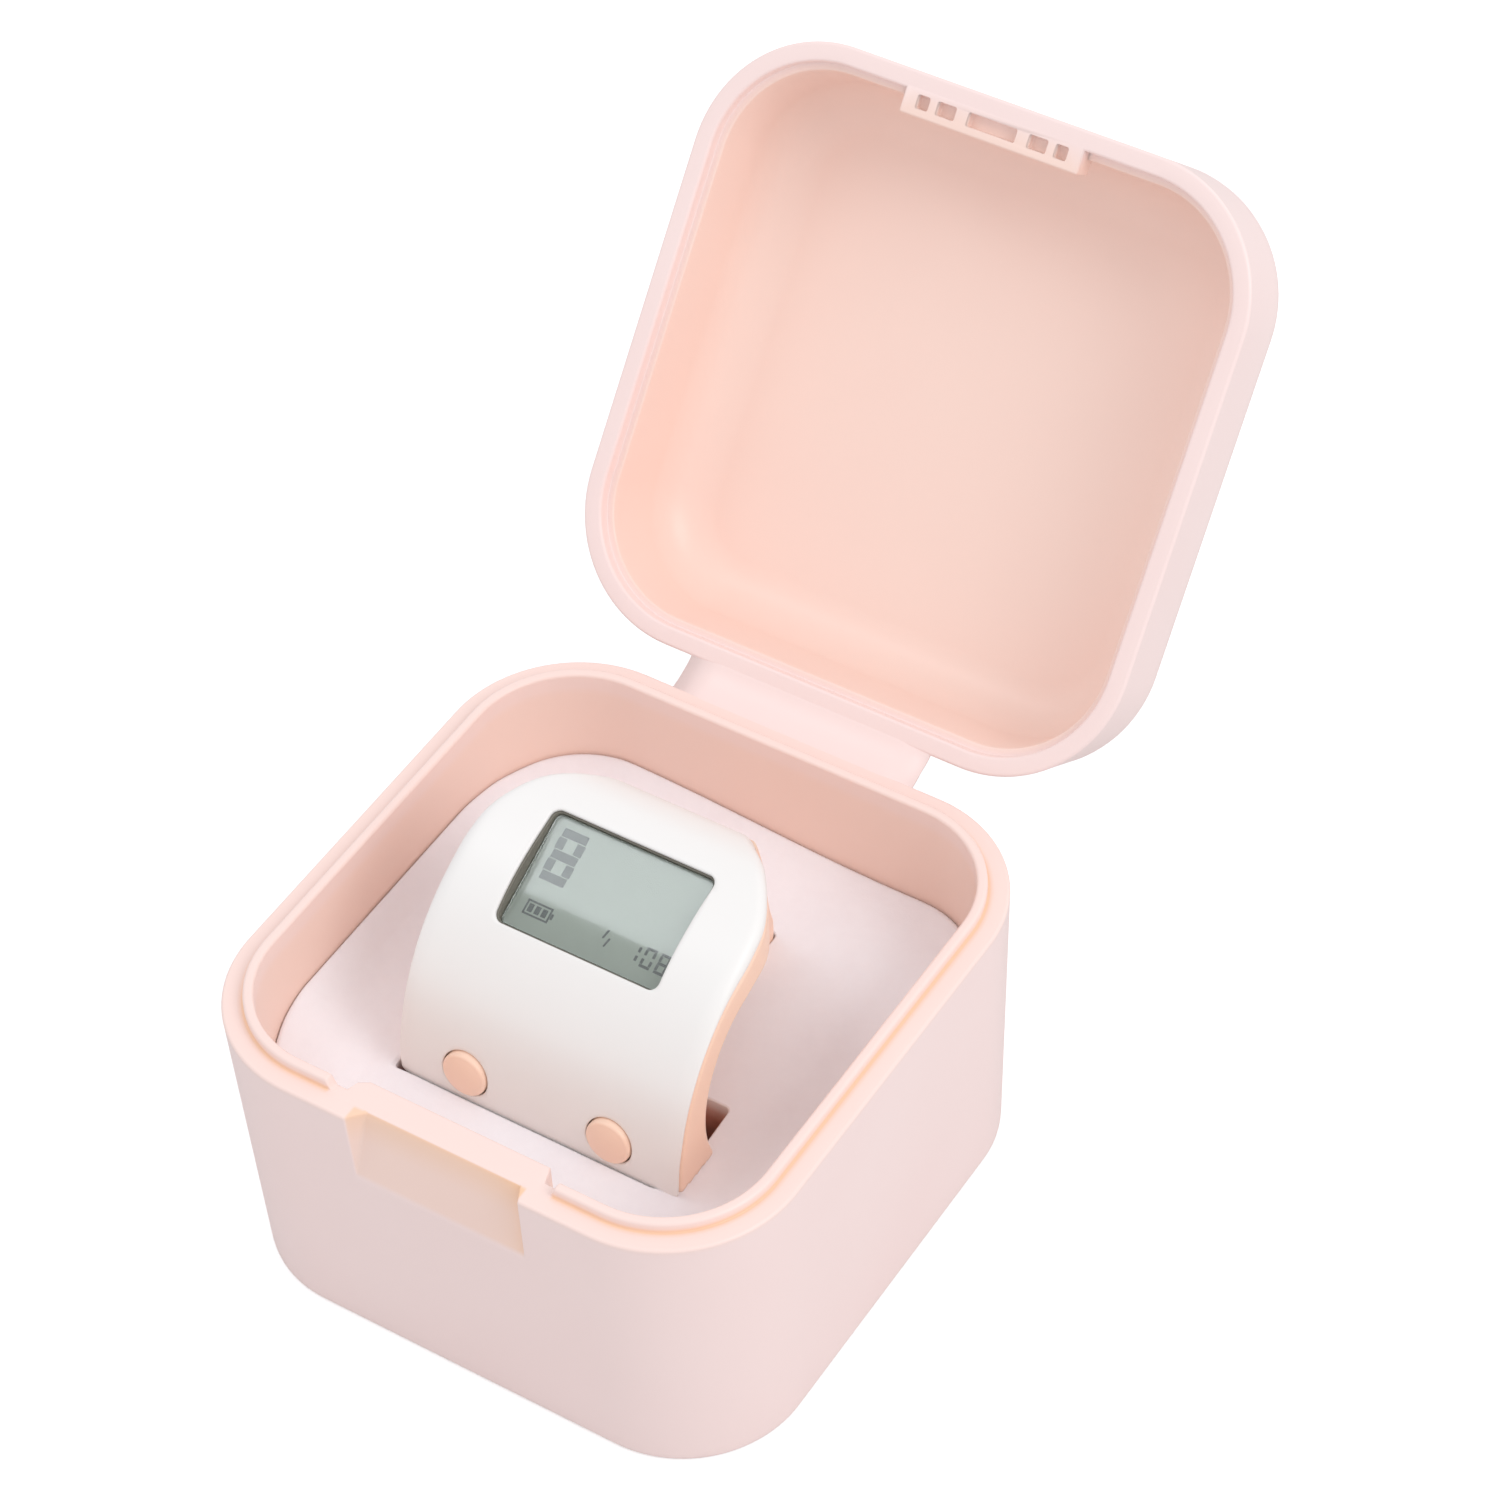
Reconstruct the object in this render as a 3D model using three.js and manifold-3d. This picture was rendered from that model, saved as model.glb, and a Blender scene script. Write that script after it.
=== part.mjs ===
// Electronic tally counter worn as a finger ring, seated in its own hinged presentation case.
// Millimetres, +Z up. The origin is the middle of the case's underside, with the latch at -Y
// and the hinge at +Y. The lid stands open, as the set is shown.

import * as THREE from "three";
import { mergeVertices } from "three/addons/utils/BufferGeometryUtils.js";
import Module from "manifold-3d";

const wasm = await Module();
wasm.setup();

// Case base
const caseWidth = 52;
const caseDepth = 52.6;
const caseCorner = 11.6;
const baseHeight = 28.3;
const baseDraft = 0.88;
const floorThickness = 1.6;
const ledgeWidth = 1.8;
const lipThickness = 0.9;
const lipHeight = 1;
const innerDraft = 0.3;
const footRound = 0.5;

// Thumb notch in the front of the base, and the thick wall behind it
const latchOffset = -0.5;
const notchWidth = 16.4;
const notchBackWidth = 14.8;
const notchDepth = 1.4;
const notchHeight = 7.5;
const bossWidth = 18.6;
const bossReach = 1.5;
const lipGapWidth = 20.5;

// Case lid
const lidHeight = 12.65;
const lidEdgeRadius = 6.1;
const lidDraft = 0.45;
const lidSeatGap = 0.15;
const lidTopThickness = 1.6;
const lidStepWidth = 0.65;
const lipClearance = 0.15;
const lipHeadroom = 0.3;

// Cored pull block on the lid's front rim
const pullWidth = 16.8;
const pullReach = 2.05;
const pullRoot = 0.5;
const pullDepth = 2.4;
const pullSkin = 0.7;
const pullPocketDepth = 1.5;
const pullPocketCentres = [0, 4.3, 6.5];
const pullPocketWidths = [4.6, 1.8, 1.2];

// Living hinge
const openAngle = 128.9;
const hingeSetback = 1.63;
const hingeDrop = 0.08;
const webWidth = 23.4;
const webThickness = 0.45;
const webGap = 0.3;

// Flocked insert
const insertHeight = 18.45;
const insertGap = 0.3;
const slotGap = 0.3;
const legSlotDepth = 10.6;
const legSlotLeft = 14.5;
const legSlotRight = 13;

// Ring: the place of its bore in the case, and its main sizes
const ringX = 0.5;
const ringY = 0.6;
const ringZ = 22.5;
const boreDiameter = 18.5;
const boreFlare = 1.3;
const boreFlareLength = 3;
const ringWidth = 26.8;
const frontReach = 14.35;
const rearReach = 13.4;
const crownHeight = 15.55;
const bandThickness = 2.2;
const bandWidth = 10;

// Ring cover and display window
const coverThickness = 1.2;
const coverGap = 0.15;
const coverFoot = -6.2;
const coverRearEnd = 9.7;
const coverRearFoot = 6.5;
const faceAngle = 24.8;
const faceDistance = 12.8;
const faceShift = 3.1;
const faceReach = 6;
const windowSideMargin = 5.7;
const windowLength = 10.4;
const windowCorner = 0.8;
const windowLip = 0.35;
const gasketWall = 0.6;
const fitGap = 0.12;

// Display stack, each level measured down from the window's chord
const lensTop = 0.75;
const lensThickness = 0.5;
const glassTop = 1.37;
const glassSideMargin = 0.8;
const glassEndMargin = 0.3;
const glassThickness = 0.8;
const reflectorThickness = 0.1;
const reflectorInset = 0.3;
const boardThickness = 0.4;
const boardInset = 2.7;
const boardEndMargin = 1.1;
const boardCorner = 0.8;
const mainBoardCorner = 3;
const stackGap = 0.1;

// Front leg: its tilt, and where its outer surface lies at the buttons
const legTilt = 8;
const legLevel = 13.77;
const buttonInset = 6.5;
const buttonShift = -2.9;
const buttonDiameter = 4.1;
const buttonProud = 0.35;
const buttonCrown = 0.25;
const buttonGap = 0.15;
const buttonSkin = 0.55;
const buttonFlange = 0.45;
const buttonFlangeThickness = 0.4;
const buttonStemDiameter = 1.6;
const buttonTravel = 0.35;
const switchSize = 3;
const switchBody = 0.9;
const switchPlungerDiameter = 1.4;
const switchPlunger = 0.25;
const buttonBoardInset = 2.9;
const buttonBoardLength = 6.4;
const buttonBoardShift = -1.5;

// Other parts inside the ring
const wallMinimum = 0.6;
const motorDiameter = 6;
const motorThickness = 1.3;
const motorShift = -1.65;
const motorWall = 0.2;
const motorShaftDiameter = 0.6;
const rotorClearance = 0.05;
const rotorRadius = 2.5;
const rotorHubRadius = 0.9;
const rotorEndGap = 0.2;
const rotorSweep = 160;
const batteryInset = 3.2;
const batteryLength = 4.8;
const batteryThickness = 2;
const batteryShift = 5.6;
const batteryCorner = 0.8;
const chipSize = 3;
const chipThickness = 0.55;
const chipShift = 1.2;
const crystalLength = 2;
const crystalWidth = 1.2;
const crystalThickness = 0.5;
const screwInset = 1.25;
const screwShift = 3;
const screwHeadDiameter = 1.7;
const screwHeadThickness = 0.45;
const screwShankDiameter = 0.9;
const screwShankLength = 1.6;
const chargePinDiameter = 1.6;
const chargePinSpacing = 5;
const linkWidth = 6;
const linkThickness = 0.15;
const linkStart = 160.6;
const linkEnd = 136.2;
const ribbonWidth = 10;
const ribbonThickness = 0.3;
const ribbonDrop = 0.35;

// How far a cutting shape runs past the face that it cuts
const overcut = 2;

const frontY = -caseDepth / 2;
const wallThickness = ledgeWidth + lipThickness;
const boreRadius = boreDiameter / 2;
const windowWidth = ringWidth - 2 * windowSideMargin;
const glassWidth = windowWidth + 2 * glassSideMargin;
const glassLength = windowLength + 2 * glassEndMargin;
const boardWidth = ringWidth - 2 * boardInset;
const boardLength = glassLength + 2 * boardEndMargin;
const screwSpacing = boardWidth - 2 * screwInset;
const batteryWidth = boardWidth - 2 * batteryInset;
const buttonBoardWidth = ringWidth - 2 * buttonBoardInset;
const buttonSpacing = ringWidth - 2 * buttonInset;
const radians = THREE.MathUtils.degToRad;

// Materials

function plastic(name, colour, roughness, metalness = 0) {
  const material = new THREE.MeshStandardMaterial({ color: colour, roughness, metalness });
  material.name = name;
  return material;
}

const casePlastic = plastic("case_plastic", 0xf3dcd4, 0.35);
const flock = plastic("flock", 0xefe9eb, 0.95);
const coverPlastic = plastic("cover_plastic", 0xf3f0ea, 0.45);
const bandPlastic = plastic("band_plastic", 0xf8cbb0, 0.45);
const blackFoam = plastic("black_foam", 0x1c1c1e, 0.8);
const clearLens = plastic("clear_lens", 0xe4ecea, 0.06);
const displayGlass = plastic("display_glass", 0x9fa99f, 0.2);
const silverFilm = plastic("silver_film", 0xc8ccc8, 0.35, 0.6);
const greenBoard = plastic("green_board", 0x1f5a3c, 0.5);
const blackResin = plastic("black_resin", 0x202022, 0.5);
const bareMetal = plastic("bare_metal", 0xb9bcc0, 0.3, 1);
const tungsten = plastic("tungsten", 0x77797d, 0.4, 1);
const brass = plastic("brass", 0xc9a24d, 0.3, 1);
const pouchFoil = plastic("pouch_foil", 0xa9adb2, 0.4, 0.7);
const amberFilm = plastic("amber_film", 0xb8762a, 0.4);

// Joining and cutting

function solid(geometry) {
  const bare = geometry.clone();
  bare.deleteAttribute("normal");
  bare.deleteAttribute("uv");
  const merged = mergeVertices(bare, 1e-4);
  return new wasm.Manifold(new wasm.Mesh({
    numProp: 3,
    vertProperties: new Float32Array(merged.attributes.position.array),
    triVerts: new Uint32Array(merged.index.array),
  }));
}

function geometryOf(shape) {
  const mesh = shape.getMesh();
  const geometry = new THREE.BufferGeometry();
  geometry.setAttribute("position", new THREE.BufferAttribute(mesh.vertProperties, 3));
  geometry.setIndex(new THREE.BufferAttribute(mesh.triVerts, 1));
  geometry.computeVertexNormals();
  return geometry;
}

function named(name, shape, material) {
  const mesh = new THREE.Mesh(geometryOf(shape), material);
  mesh.name = name;
  return mesh;
}

// Outlines and the solids drawn from them

function roundedOutline(width, depth, radius, steps = 7) {
  const points = [];
  const corners = [[1, 1], [-1, 1], [-1, -1], [1, -1]];
  corners.forEach(([sx, sy], corner) => {
    for (let step = 0; step <= steps; step += 1) {
      const angle = (Math.PI / 2) * (corner + step / steps);
      const x = sx * (width / 2 - radius) + radius * Math.cos(angle);
      const y = sy * (depth / 2 - radius) + radius * Math.sin(angle);
      points.push(new THREE.Vector2(x, y));
    }
  });
  return points;
}

function caseOutline(inset) {
  return roundedOutline(caseWidth - 2 * inset, caseDepth - 2 * inset, caseCorner - inset);
}

// A closed solid through level outlines that all have the same number of points.
function loft(levels) {
  const positions = [];
  const index = [];
  const count = levels[0].outline.length;
  levels.forEach(({ outline, z }) => outline.forEach((p) => positions.push(p.x, p.y, z)));
  for (let level = 0; level < levels.length - 1; level += 1) {
    for (let i = 0; i < count; i += 1) {
      const a = level * count + i;
      const b = level * count + ((i + 1) % count);
      index.push(a, b, b + count, a, b + count, a + count);
    }
  }
  const last = (levels.length - 1) * count;
  THREE.ShapeUtils.triangulateShape(levels[0].outline, []).forEach(([a, b, c]) => {
    index.push(a, c, b);
    index.push(last + a, last + b, last + c);
  });
  const geometry = new THREE.BufferGeometry();
  geometry.setAttribute("position", new THREE.Float32BufferAttribute(positions, 3));
  geometry.setIndex(index);
  return solid(geometry);
}

function prism(outline, z0, z1) {
  return loft([{ outline, z: z0 }, { outline, z: z1 }]);
}

// Outline given in (y, z), drawn out along X.
function prismX(outline, x0, x1) {
  const geometry = new THREE.ExtrudeGeometry(new THREE.Shape(outline), {
    depth: x1 - x0,
    bevelEnabled: false,
  });
  geometry.applyMatrix4(new THREE.Matrix4().makeBasis(
    new THREE.Vector3(0, 1, 0),
    new THREE.Vector3(0, 0, 1),
    new THREE.Vector3(1, 0, 0),
  ));
  geometry.translate(x0, 0, 0);
  return solid(geometry);
}

// Outline given in (x, z), drawn out along Y.
function prismY(outline, y0, y1) {
  const geometry = new THREE.ExtrudeGeometry(new THREE.Shape(outline), {
    depth: y1 - y0,
    bevelEnabled: false,
  });
  geometry.applyMatrix4(new THREE.Matrix4().makeRotationX(Math.PI / 2));
  geometry.translate(0, y1, 0);
  return solid(geometry);
}

function block(width, depth, height, x = 0, y = 0, z = 0) {
  const geometry = new THREE.BoxGeometry(width, depth, height);
  geometry.translate(x, y, z);
  return solid(geometry);
}

function disc(diameter, height, sides = 24) {
  const geometry = new THREE.CylinderGeometry(diameter / 2, diameter / 2, height, sides);
  geometry.rotateX(Math.PI / 2);
  return solid(geometry);
}

function joinAll(shapes) {
  return shapes.reduce((whole, shape) => whole.add(shape));
}

function corners(pairs) {
  return pairs.map(([a, b]) => new THREE.Vector2(a, b));
}

// Case base: drafted tub with an outer ledge and a raised lip just inside it

function baseOuter() {
  return loft([
    { outline: caseOutline(baseDraft + footRound), z: 0 },
    { outline: caseOutline(baseDraft), z: footRound },
    { outline: caseOutline(0), z: baseHeight },
  ]);
}

function lipRing() {
  const outer = prism(caseOutline(ledgeWidth), baseHeight - lipHeight, baseHeight + lipHeight);
  const inner = prism(caseOutline(wallThickness), floorThickness, baseHeight + 2 * lipHeight);
  const gap = block(lipGapWidth, 4 * wallThickness, 2 * lipHeight,
    latchOffset, frontY + wallThickness, baseHeight + lipHeight);
  return outer.subtract(inner).subtract(gap);
}

function baseCavity() {
  return loft([
    { outline: caseOutline(wallThickness + innerDraft), z: floorThickness },
    { outline: caseOutline(wallThickness), z: baseHeight + overcut },
  ]);
}

// Wedge that is deepest at the rim and runs out to nothing at its foot, with splayed sides.
function thumbNotch() {
  const foot = baseHeight - notchHeight;
  const outerShift = baseDraft * (notchHeight / baseHeight);
  const profile = corners([
    [frontY - overcut, foot],
    [frontY + outerShift, foot],
    [frontY + notchDepth, baseHeight],
    [frontY + notchDepth, baseHeight + overcut],
    [frontY - overcut, baseHeight + overcut],
  ]);
  const wedge = prismX(profile, latchOffset - notchWidth / 2, latchOffset + notchWidth / 2);
  const half = notchWidth / 2;
  const backHalf = notchBackWidth / 2;
  const plan = corners([
    [latchOffset - half, frontY - overcut],
    [latchOffset + half, frontY - overcut],
    [latchOffset + half, frontY],
    [latchOffset + backHalf, frontY + notchDepth],
    [latchOffset - backHalf, frontY + notchDepth],
    [latchOffset - half, frontY],
  ]);
  return wedge.intersect(prism(plan, foot - overcut, baseHeight + overcut));
}

function latchBoss() {
  const inner = frontY + wallThickness;
  const profile = corners([
    [inner - 1, baseHeight - notchHeight - 1],
    [inner + innerDraft, baseHeight - notchHeight - 1],
    [inner + bossReach, baseHeight - notchHeight / 2],
    [inner + bossReach, baseHeight],
    [inner - 1, baseHeight],
  ]);
  return prismX(profile, latchOffset - bossWidth / 2, latchOffset + bossWidth / 2);
}

function caseBase() {
  const shape = baseOuter()
    .subtract(baseCavity())
    .add(lipRing())
    .add(latchBoss())
    .subtract(thumbNotch());
  return named("case_base", shape, casePlastic);
}

// Case lid, drawn closed on the base and then swung open about the hinge

const hingeY = caseDepth / 2 + hingeSetback;
const hingeZ = baseHeight - hingeDrop;
const lidRimZ = baseHeight + lidSeatGap;

function lidOuter() {
  const arcSteps = 5;
  const levels = [{ outline: caseOutline(0), z: lidRimZ }];
  for (let step = 0; step <= arcSteps; step += 1) {
    const angle = (Math.PI / 2) * (step / arcSteps);
    const inset = lidDraft + lidEdgeRadius * (1 - Math.cos(angle));
    const z = lidRimZ + lidHeight - lidEdgeRadius + lidEdgeRadius * Math.sin(angle);
    levels.push({ outline: caseOutline(inset), z });
  }
  return loft(levels);
}

function lidCavity() {
  const arcSteps = 4;
  const wall = ledgeWidth - lipClearance + lidStepWidth;
  const radius = lidEdgeRadius - lidTopThickness;
  const top = lidRimZ + lidHeight - lidTopThickness;
  const levels = [{ outline: caseOutline(wall), z: lidRimZ - overcut }];
  for (let step = 0; step <= arcSteps; step += 1) {
    const angle = (Math.PI / 2) * (step / arcSteps);
    const inset = wall + lidDraft + radius * (1 - Math.cos(angle));
    levels.push({ outline: caseOutline(inset), z: top - radius + radius * Math.sin(angle) });
  }
  return loft(levels);
}

function lipGroove() {
  const outline = caseOutline(ledgeWidth - lipClearance);
  return prism(outline, lidRimZ - overcut, lidRimZ - lidSeatGap + lipHeight + lipHeadroom);
}

function pullBlock() {
  const outerY = frontY + ledgeWidth - lipClearance - pullRoot;
  const innerY = frontY + ledgeWidth - lipClearance + pullReach;
  const body = block(pullWidth, innerY - outerY, pullDepth,
    latchOffset, (innerY + outerY) / 2, lidRimZ + pullDepth / 2);
  const pocketY0 = frontY + ledgeWidth;
  const pocketY1 = innerY - pullSkin;
  const pockets = [];
  pullPocketCentres.forEach((centre, i) => {
    const sides = centre === 0 ? [1] : [-1, 1];
    sides.forEach((side) => pockets.push(block(
      pullPocketWidths[i], pocketY1 - pocketY0, 2 * pullPocketDepth,
      latchOffset + side * centre, (pocketY0 + pocketY1) / 2, lidRimZ,
    )));
  });
  return body.subtract(joinAll(pockets));
}

function caseLid() {
  const shape = lidOuter().subtract(lidCavity()).subtract(lipGroove()).add(pullBlock());
  const mesh = named("case_lid", shape, casePlastic);
  mesh.geometry.translate(0, -hingeY, -hingeZ);
  const swing = new THREE.Group();
  swing.position.set(0, hingeY, hingeZ);
  swing.rotation.x = -radians(openAngle);
  swing.add(mesh);
  return swing;
}

// Thin web between the rims, straight while the lid stands at its moulded angle

function hingeWeb() {
  const start = new THREE.Vector2(caseDepth / 2, baseHeight);
  const pivot = new THREE.Vector2(hingeY, hingeZ);
  const closedEdge = new THREE.Vector2(caseDepth / 2, lidRimZ);
  const end = closedEdge.clone().rotateAround(pivot, -radians(openAngle));
  const along = end.clone().sub(start).normalize();
  const across = new THREE.Vector2(-along.y, along.x).multiplyScalar(webThickness / 2);
  const a = start.clone().addScaledVector(along, webGap);
  const b = end.clone().addScaledVector(along, -webGap);
  const outline = [
    a.clone().sub(across),
    b.clone().sub(across),
    b.clone().add(across),
    a.clone().add(across),
  ];
  return named("hinge_web", prismX(outline, -webWidth / 2, webWidth / 2), casePlastic);
}

// Ring outline in (y, z) about the bore's axis: front leg, sloping face, crown, rear leg, band

function ringOutline(inset = 0, samples = 56) {
  const bottom = -(boreRadius + bandThickness);
  const curve = new THREE.SplineCurve(corners([
    [-frontReach, -4.2],
    [-frontReach + 0.42, -0.4],
    [-frontReach + 2.4, 5],
    [-8.35, 9.8],
    [-4.5, 12.7],
    [0.5, crownHeight - 0.93],
    [5, crownHeight],
    [rearReach - 4.6, crownHeight - 2.3],
    [rearReach - 2.3, crownHeight - 7.6],
    [rearReach - 1.2, 1.2],
    [rearReach, -3.8],
    [rearReach - 1.5, bottom + 3.4],
    [rearReach - 6.6, bottom + 0.4],
    [0, bottom],
    [-frontReach + 7.3, bottom + 0.25],
    [-frontReach + 1.7, bottom + 2.6],
    [-frontReach, -4.2],
  ]));
  const points = curve.getSpacedPoints(samples).slice(0, samples);
  return points.map((point, i) => {
    const before = points[(i + samples - 1) % samples];
    const after = points[(i + 1) % samples];
    const along = after.clone().sub(before).normalize();
    return new THREE.Vector2(point.x - along.y * -inset, point.y + along.x * -inset);
  }).reverse();
}

function mirroredOutline(edge) {
  return [...edge, ...edge.map((p) => new THREE.Vector2(-p.x, p.y)).reverse()];
}

// Seen from above the ring is widest over the leg and face, and narrows to the band at the rear.
function planOutline() {
  const wide = ringWidth / 2;
  const narrow = bandWidth / 2;
  return mirroredOutline(new THREE.SplineCurve(corners([
    [wide, -frontReach - overcut],
    [wide, -6],
    [wide, -2],
    [wide - 0.9, 1.2],
    [wide - 3.7, 5],
    [wide - 6.7, 8.3],
    [narrow + 0.3, rearReach - 1.5],
    [narrow, rearReach + overcut],
  ])).getPoints(16));
}

// Seen from the front the leg's lower corners are rounded and run down into the band.
function legOutline() {
  const wide = ringWidth / 2;
  const narrow = bandWidth / 2;
  const bottom = -(boreRadius + bandThickness);
  return mirroredOutline(new THREE.SplineCurve(corners([
    [narrow, bottom - overcut],
    [narrow, bottom + 2.6],
    [narrow + 1.2, -7.2],
    [wide - 2.8, -5.6],
    [wide - 0.7, -3.6],
    [wide, 0],
    [wide, crownHeight + overcut],
  ])).getPoints(14));
}

// Seen from behind the rear leg tapers from the crown down to the band.
function rearOutline() {
  const wide = ringWidth / 2;
  const narrow = bandWidth / 2;
  const bottom = -(boreRadius + bandThickness);
  return mirroredOutline(new THREE.SplineCurve(corners([
    [narrow, bottom - overcut],
    [narrow, -4.5],
    [narrow + 0.2, -1],
    [narrow + 1.4, 2.5],
    [wide - 3.2, 5.5],
    [wide, 8.2],
    [wide, crownHeight + overcut],
  ])).getPoints(14));
}

function ringCore(inset) {
  const wide = ringWidth / 2 + 1;
  return prismX(ringOutline(inset), -wide, wide);
}

function ringBlank() {
  const reach = 2 * crownHeight;
  const split = -4;
  const front = prismY(legOutline(), -reach, split);
  const rear = prismY(rearOutline(), split - 1, reach);
  return ringCore(0).intersect(prism(planOutline(), -reach, reach)).intersect(front.add(rear));
}

// Bore with flared mouths, turned about X.
function boreCutter() {
  const half = ringWidth / 2;
  const mouth = boreRadius + boreFlare;
  const waist = boreRadius + boreFlare * 0.35;
  const profile = corners([
    [0, -half - overcut],
    [mouth, -half - overcut],
    [mouth, -half],
    [waist, -half + boreFlareLength * 0.45],
    [boreRadius, -half + boreFlareLength],
    [boreRadius, half - boreFlareLength],
    [waist, half - boreFlareLength * 0.45],
    [mouth, half],
    [mouth, half + overcut],
    [0, half + overcut],
  ]);
  const geometry = new THREE.LatheGeometry(profile, 40);
  geometry.rotateZ(-Math.PI / 2);
  return solid(geometry);
}

// A piece drawn level, then laid on the sloping face of the ring.
function onFace(shape, shift = 0, level = 0) {
  const matrix = new THREE.Matrix4().makeRotationX(radians(faceAngle));
  matrix.multiply(new THREE.Matrix4().makeTranslation(0, faceShift + shift, faceDistance + level));
  return shape.transform(matrix.elements);
}

// A piece drawn level, then stood on the tilted front leg, with its level measured from the bore's axis.
function onLeg(shape, x = 0, shift = 0) {
  const matrix = new THREE.Matrix4().makeRotationX(radians(90 - legTilt));
  matrix.multiply(new THREE.Matrix4().makeTranslation(x, shift, 0));
  return shape.transform(matrix.elements);
}

const glassBottom = -glassTop - glassThickness;
const reflectorBottom = glassBottom - stackGap - reflectorThickness;
const boardTop = reflectorBottom - stackGap;
const boardBottom = boardTop - boardThickness;
const buttonBoardBottom = boreRadius + wallMinimum + stackGap;
const switchBottom = buttonBoardBottom + boardThickness + stackGap;
const batteryTop = boardBottom - stackGap;
const flangeHole = buttonDiameter + 2 * (buttonFlange + buttonGap);
const flangeTop = legLevel - buttonSkin - buttonGap;
const flangeBottom = flangeTop - buttonFlangeThickness;

// The part of the ring's outside that the cover wraps: up the front leg, over the face and crown
function coverRegion() {
  const front = -frontReach - overcut;
  const top = crownHeight + overcut;
  const wide = ringWidth + 2 * overcut;
  const upFront = block(wide, -front, top - coverFoot, 0, front / 2, (top + coverFoot) / 2);
  const overCrown = block(wide, coverRearEnd + overcut, top - coverRearFoot,
    0, (coverRearEnd - overcut) / 2, (top + coverRearFoot) / 2);
  return upFront.add(overCrown);
}

function windowPrism(grow, top, bottom) {
  const outline = roundedOutline(windowWidth + 2 * grow, windowLength + 2 * grow,
    windowCorner + grow, 4);
  return onFace(prism(outline, bottom, top));
}

function buttonHoles(diameter, top, bottom) {
  const depth = top - bottom;
  return joinAll([-1, 1].map((side) => onLeg(
    disc(diameter, depth).translate(0, 0, (top + bottom) / 2),
    (side * buttonSpacing) / 2,
    buttonShift,
  )));
}

function ringCover() {
  const rebate = ringCore(windowLip).intersect(windowPrism(gasketWall + fitGap, faceReach, -faceReach));
  const behind = legLevel - 3 * coverThickness;
  const shape = ringBlank()
    .subtract(ringCore(coverThickness))
    .intersect(coverRegion())
    .subtract(windowPrism(0, faceReach, -faceReach))
    .subtract(rebate)
    .subtract(buttonHoles(buttonDiameter + 2 * buttonGap, legLevel + overcut, behind))
    .subtract(buttonHoles(flangeHole, legLevel - buttonSkin, behind));
  return named("ring_cover", shape, coverPlastic);
}

// What the shell gives up to the cover, with a gap at the cover's two ends
function coverSeat() {
  const whole = block(2 * ringWidth, 4 * frontReach, 4 * crownHeight);
  const region = coverRegion();
  const lifted = region.add(region.translate(0, 0, -coverGap)).add(region.translate(0, coverGap, 0));
  return whole.subtract(ringCore(coverThickness + coverGap)).intersect(lifted);
}

// Pockets in the shell, each open towards the cover
function displayPocket() {
  const width = boardWidth + 2 * fitGap;
  const length = boardLength + 2 * fitGap;
  const outline = roundedOutline(width, length, mainBoardCorner, 4);
  return onFace(prism(outline, boardBottom - stackGap, faceReach));
}

function batteryPocket() {
  const width = batteryWidth + 2 * fitGap;
  const length = batteryLength + 2 * fitGap;
  const floor = batteryTop - batteryThickness - stackGap;
  const outline = roundedOutline(width, length, batteryCorner, 3);
  return onFace(prism(outline, floor, faceReach), batteryShift);
}

function underBoardPocket() {
  const depth = chipThickness + 2 * stackGap;
  const width = screwSpacing - 2 * screwHeadDiameter - 2 * fitGap;
  return onFace(block(width, chipSize + 2 * fitGap, 2 * depth, 0, 0, boardBottom), chipShift);
}

function legPocket() {
  const floor = buttonBoardBottom - stackGap;
  const length = buttonBoardLength + 2 * fitGap;
  const outline = roundedOutline(buttonBoardWidth + 2 * fitGap, length, boardCorner, 3);
  return onLeg(prism(outline, floor, legLevel + 4), 0, buttonBoardShift);
}

function linkPocket() {
  const profile = linkOutline(3 * linkThickness + 2 * fitGap, 5);
  return prismX(profile, -linkWidth / 2 - fitGap, linkWidth / 2 + fitGap);
}

function screwPlaces() {
  return [-1, 1].map((side) => [(side * screwSpacing) / 2, screwShift]);
}

function ringShell() {
  const screwHoles = screwPlaces().map(([x, shift]) => onFace(
    disc(screwShankDiameter + 2 * fitGap, 2 * screwShankLength, 12).translate(x, 0, boardBottom),
    shift,
  ));
  const pinHoles = [-1, 1].map((side) => onLeg(
    disc(chargePinDiameter + 2 * fitGap, 4, 16).translate(0, 0, boreRadius),
    (side * chargePinSpacing) / 2,
  ));
  const shape = ringBlank()
    .subtract(coverSeat())
    .subtract(boreCutter())
    .subtract(displayPocket())
    .subtract(batteryPocket())
    .subtract(underBoardPocket())
    .subtract(legPocket())
    .subtract(buttonHoles(flangeHole, legLevel, flangeBottom - buttonTravel - buttonGap))
    .subtract(linkPocket())
    .subtract(joinAll(screwHoles))
    .subtract(joinAll(pinHoles));
  return named("ring_shell", shape, bandPlastic);
}

// Display stack

function displayGasket() {
  const outer = ringCore(windowLip + fitGap).intersect(windowPrism(gasketWall, faceReach, -glassTop + stackGap));
  return named("display_gasket", outer.subtract(windowPrism(-fitGap, faceReach, -faceReach)), blackFoam);
}

function displayLens() {
  const outline = roundedOutline(windowWidth - 4 * fitGap, windowLength - 4 * fitGap,
    windowCorner, 4);
  return named("display_lens", onFace(prism(outline, -lensTop - lensThickness, -lensTop)), clearLens);
}

function displayPanel() {
  const shape = block(glassWidth, glassLength, glassThickness, 0, 0, -glassTop - glassThickness / 2);
  return named("display_panel", onFace(shape), displayGlass);
}

function displayReflector() {
  const middle = reflectorBottom + reflectorThickness / 2;
  const shape = block(glassWidth - 2 * reflectorInset, glassLength - 2 * reflectorInset,
    reflectorThickness, 0, 0, middle);
  return named("display_reflector", onFace(shape), silverFilm);
}

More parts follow.
